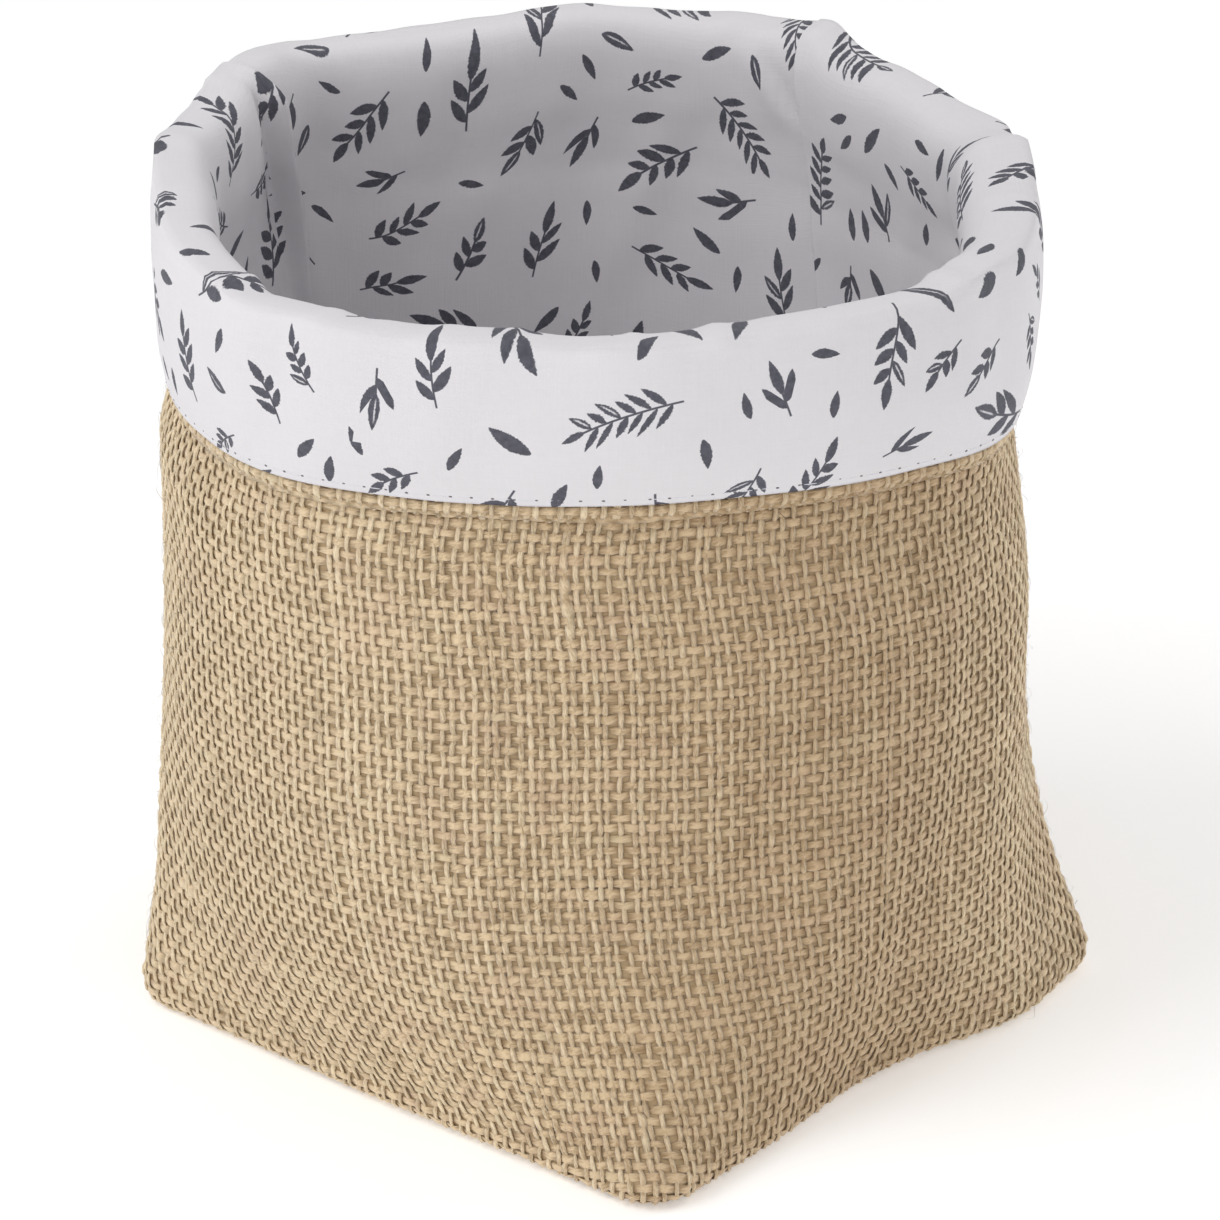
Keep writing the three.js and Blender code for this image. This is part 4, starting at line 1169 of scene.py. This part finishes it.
def stitches(name, shift, size, sunk, material):
    """Stitches, or their holes, at equal distances along the line, each square to the cotton."""
    at = (np.arange(stitch_count) + shift) * line_run[-1] / stitch_count
    at = (at + stitch_random.normal(0, ALONG_STRAY, stitch_count)) % line_run[-1]
    place = np.array([np.interp(at, line_run, values) for values in line.T]).T
    out = -place[:, 3:]
    points = place[:, :3] + out * (COTTON_FAR - sunk)
    points[:, 2] += stitch_random.normal(0, HEIGHT_STRAY, stitch_count)
    way = np.roll(points, -1, axis=0) - np.roll(points, 1, axis=0)
    way = way / np.linalg.norm(way, axis=1, keepdims=True)
    return grown(name, points, np.empty((0, 2), int), {"out": out, "way": way}, stitches_along_seam, {
        "Size": tuple(value * MM for value in size), "Material": material})


white_thread = thread_material("white_thread", (0.70, 0.70, 0.74), (0.80, 0.80, 0.83))
# The needle holes are small shapes coloured dark: painted shade for the hollow of each hole.
needle_hole_shade = thread_material("needle_hole_shade", (0.12, 0.115, 0.125), (0.25, 0.24, 0.25))
stitch_thread = stitches("hem_stitch_threads", 0.5, THREAD_SIZE, THREAD_SUNK, white_thread)
needle_holes = stitches("hem_needle_holes", 0.0, HOLE_SIZE, HOLE_SUNK, needle_hole_shade)
for piece in (stitch_thread, needle_holes):
    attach(piece, "root")

# Loose fibres. Jute sheds fine hairs: they lie across the yarns or stand a little off them.
FIBRE_COUNT, FIBRE_POINTS = 2400, 5
FIBRE_SIZE = dict(width=0.11, thickness=0.09)
SHORTEST_FIBRE, LONGEST_FIBRE, CURL = 1.2, 11, 0.9
OFF_THE_YARNS, FARTHEST_OFF, ABOVE_SEAM = 0.72, 2.6, 3.0
fibre_random = np.random.default_rng(5)
fibre_columns = fibre_random.uniform(0, OUTLINE_STEPS, FIBRE_COUNT)
depth_grid = np.arange(0.0, down[-1].min() - ABOVE_SEAM, 1.0)
place = at_depths(depth_grid)
fibre_rows = fibre_random.uniform(1, len(depth_grid) - 2, FIBRE_COUNT)
length = fibre_random.gamma(2.2, 1.3, FIBRE_COUNT).clip(SHORTEST_FIBRE, LONGEST_FIBRE)
direction = fibre_random.uniform(0, 2 * math.pi, FIBRE_COUNT)
curl = fibre_random.normal(0, CURL, FIBRE_COUNT)
share = np.linspace(0, 1, FIBRE_POINTS)[None]
heading = direction[:, None] + curl[:, None] * share
step = (length / (FIBRE_POINTS - 1))[:, None]
columns = fibre_columns[:, None] + np.cumsum(np.cos(heading) * step, axis=1) / ROW_PITCH * STEPS_TO_A_YARN
rows = np.clip(fibre_rows[:, None] + np.cumsum(np.sin(heading) * step, axis=1), 0, len(depth_grid) - 1.01)
low, low_column = rows.astype(int), np.floor(columns).astype(int)
part, column_part = (rows - low)[..., None], (columns - low_column)[..., None]
place = sum(place[low + a, (low_column + b) % OUTLINE_STEPS]
            * (part if a else 1 - part) * (column_part if b else 1 - column_part)
            for a in (0, 1) for b in (0, 1))
stand = fibre_random.gamma(1.3, 0.35, FIBRE_COUNT).clip(0, FARTHEST_OFF)[:, None]
points, out = lifted(place, OFF_THE_YARNS + stand * np.sin(share * math.pi * 0.75) ** 1.5)
shape = rows.shape
facts = {
    "crown": np.full(shape, 0.7),
    "swell": (1.1 - 0.7 * share) * fibre_random.uniform(0.6, 1.3, (FIBRE_COUNT, 1)),
    "seed": np.broadcast_to(fibre_random.random((FIBRE_COUNT, 1)), shape),
    "along": np.cumsum(np.broadcast_to(step, shape), axis=1),
}
jute_fibre = jute_material("jute_fibre", (0.90, 0.75, 0.54), (0.62, 0.48, 0.30), 0.4)
loose_fibres = yarns("loose_fibres", points, out, np.ones(shape, bool), facts,
                     FIBRE_SIZE, jute_fibre, sides=3)
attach(loose_fibres, "root")

# Floor, light and camera. The basket stands on a wide pale floor, under a broad soft light from the
# front and the left, in a bright room.
FLOOR_HALF, FLOOR_LEVEL, FLOOR_GLOW = 3000.0, -0.2, 0.3
ROOM_LIGHT = 0.42
WHITE = (1.0, 1.0, 1.0, 1.0)
floor_material = Material("pale_floor", 0.9)
floor_noise = floor_material.noise(floor_material.place(), 3.0)
floor_material.set(("Emission Color", WHITE), ("Emission Strength", FLOOR_GLOW))
floor_colour = floor_material.mix(floor_noise, (0.93, 0.93, 0.93), (0.95, 0.95, 0.95))
corner_ways = ((-1, -1), (1, -1), (1, 1), (-1, 1))
floor_corners = [(x * FLOOR_HALF, y * FLOOR_HALF, FLOOR_LEVEL) for x, y in corner_ways]
floor = mesh_object("floor", floor_corners, [(0, 1, 2, 3)], floor_material.finish(floor_colour))

CAMERA_AZIMUTH, CAMERA_ELEVATION = math.radians(40.12), math.radians(24.62)
CAMERA_DISTANCE, CAMERA_SIDE, CAMERA_HEIGHT = 1400.0, -0.46, 84.45
LENS, SENSOR = 202.6, 36.0
LAMPS_HEIGHT = 90.0


def towards(around, up):
    """The direction of a place round the basket and above it."""
    return np.array([math.sin(around) * math.cos(up), -math.cos(around) * math.cos(up), math.sin(up)])


def aimed(thing, position, back, up):
    """Places a lamp or a camera at a point in millimetres, looking away from its back."""
    side = np.cross(up, back)
    side = side / np.linalg.norm(side)
    back = back / np.linalg.norm(back)
    matrix = np.eye(4)
    matrix[:3, 0], matrix[:3, 1], matrix[:3, 2] = side, np.cross(back, side), back
    matrix[:3, 3] = np.asarray(position) * MM
    thing.matrix_world = Matrix(matrix.tolist())


sideways = np.array([math.cos(CAMERA_AZIMUTH), math.sin(CAMERA_AZIMUTH), 0.0])
backward = towards(CAMERA_AZIMUTH, CAMERA_ELEVATION)
target = sideways * CAMERA_SIDE + np.array([0.0, 0.0, CAMERA_HEIGHT])
camera = placed("camera", bpy.data.cameras.new("camera"))
camera.data.lens, camera.data.sensor_width = LENS, SENSOR
camera.data.clip_start, camera.data.clip_end = 0.05, 20.0
aimed(camera, target + backward * CAMERA_DISTANCE, backward, np.cross(backward, sideways))
bpy.context.scene.camera = camera

# Lamps: size and distance in millimetres, power in watts, turn from the camera and height in degrees
for name, size, distance, power, turn, height in (
        ("key", 1100, 1500, 10.0, -64, 48), ("front", 1300, 1700, 3.5, 14, 20),
        ("rim", 900, 1600, 5.8, 122, 24), ("top", 1300, 1500, 1.2, 0, 84)):
    lamp = placed(name, bpy.data.lights.new(name, "AREA"))
    lamp.data.size, lamp.data.energy = size * MM, power
    back = towards(CAMERA_AZIMUTH + math.radians(turn), math.radians(height))
    aimed(lamp, back * distance + np.array([0, 0, LAMPS_HEIGHT]), back, np.array([0, 0, 1.0]))

world = bpy.data.worlds.new("pale_room")
world.use_nodes = True
world.node_tree.nodes["Background"].inputs["Color"].default_value = WHITE
world.node_tree.nodes["Background"].inputs["Strength"].default_value = ROOM_LIGHT
bpy.context.scene.world = world
bpy.context.scene.view_settings.view_transform = "Standard"
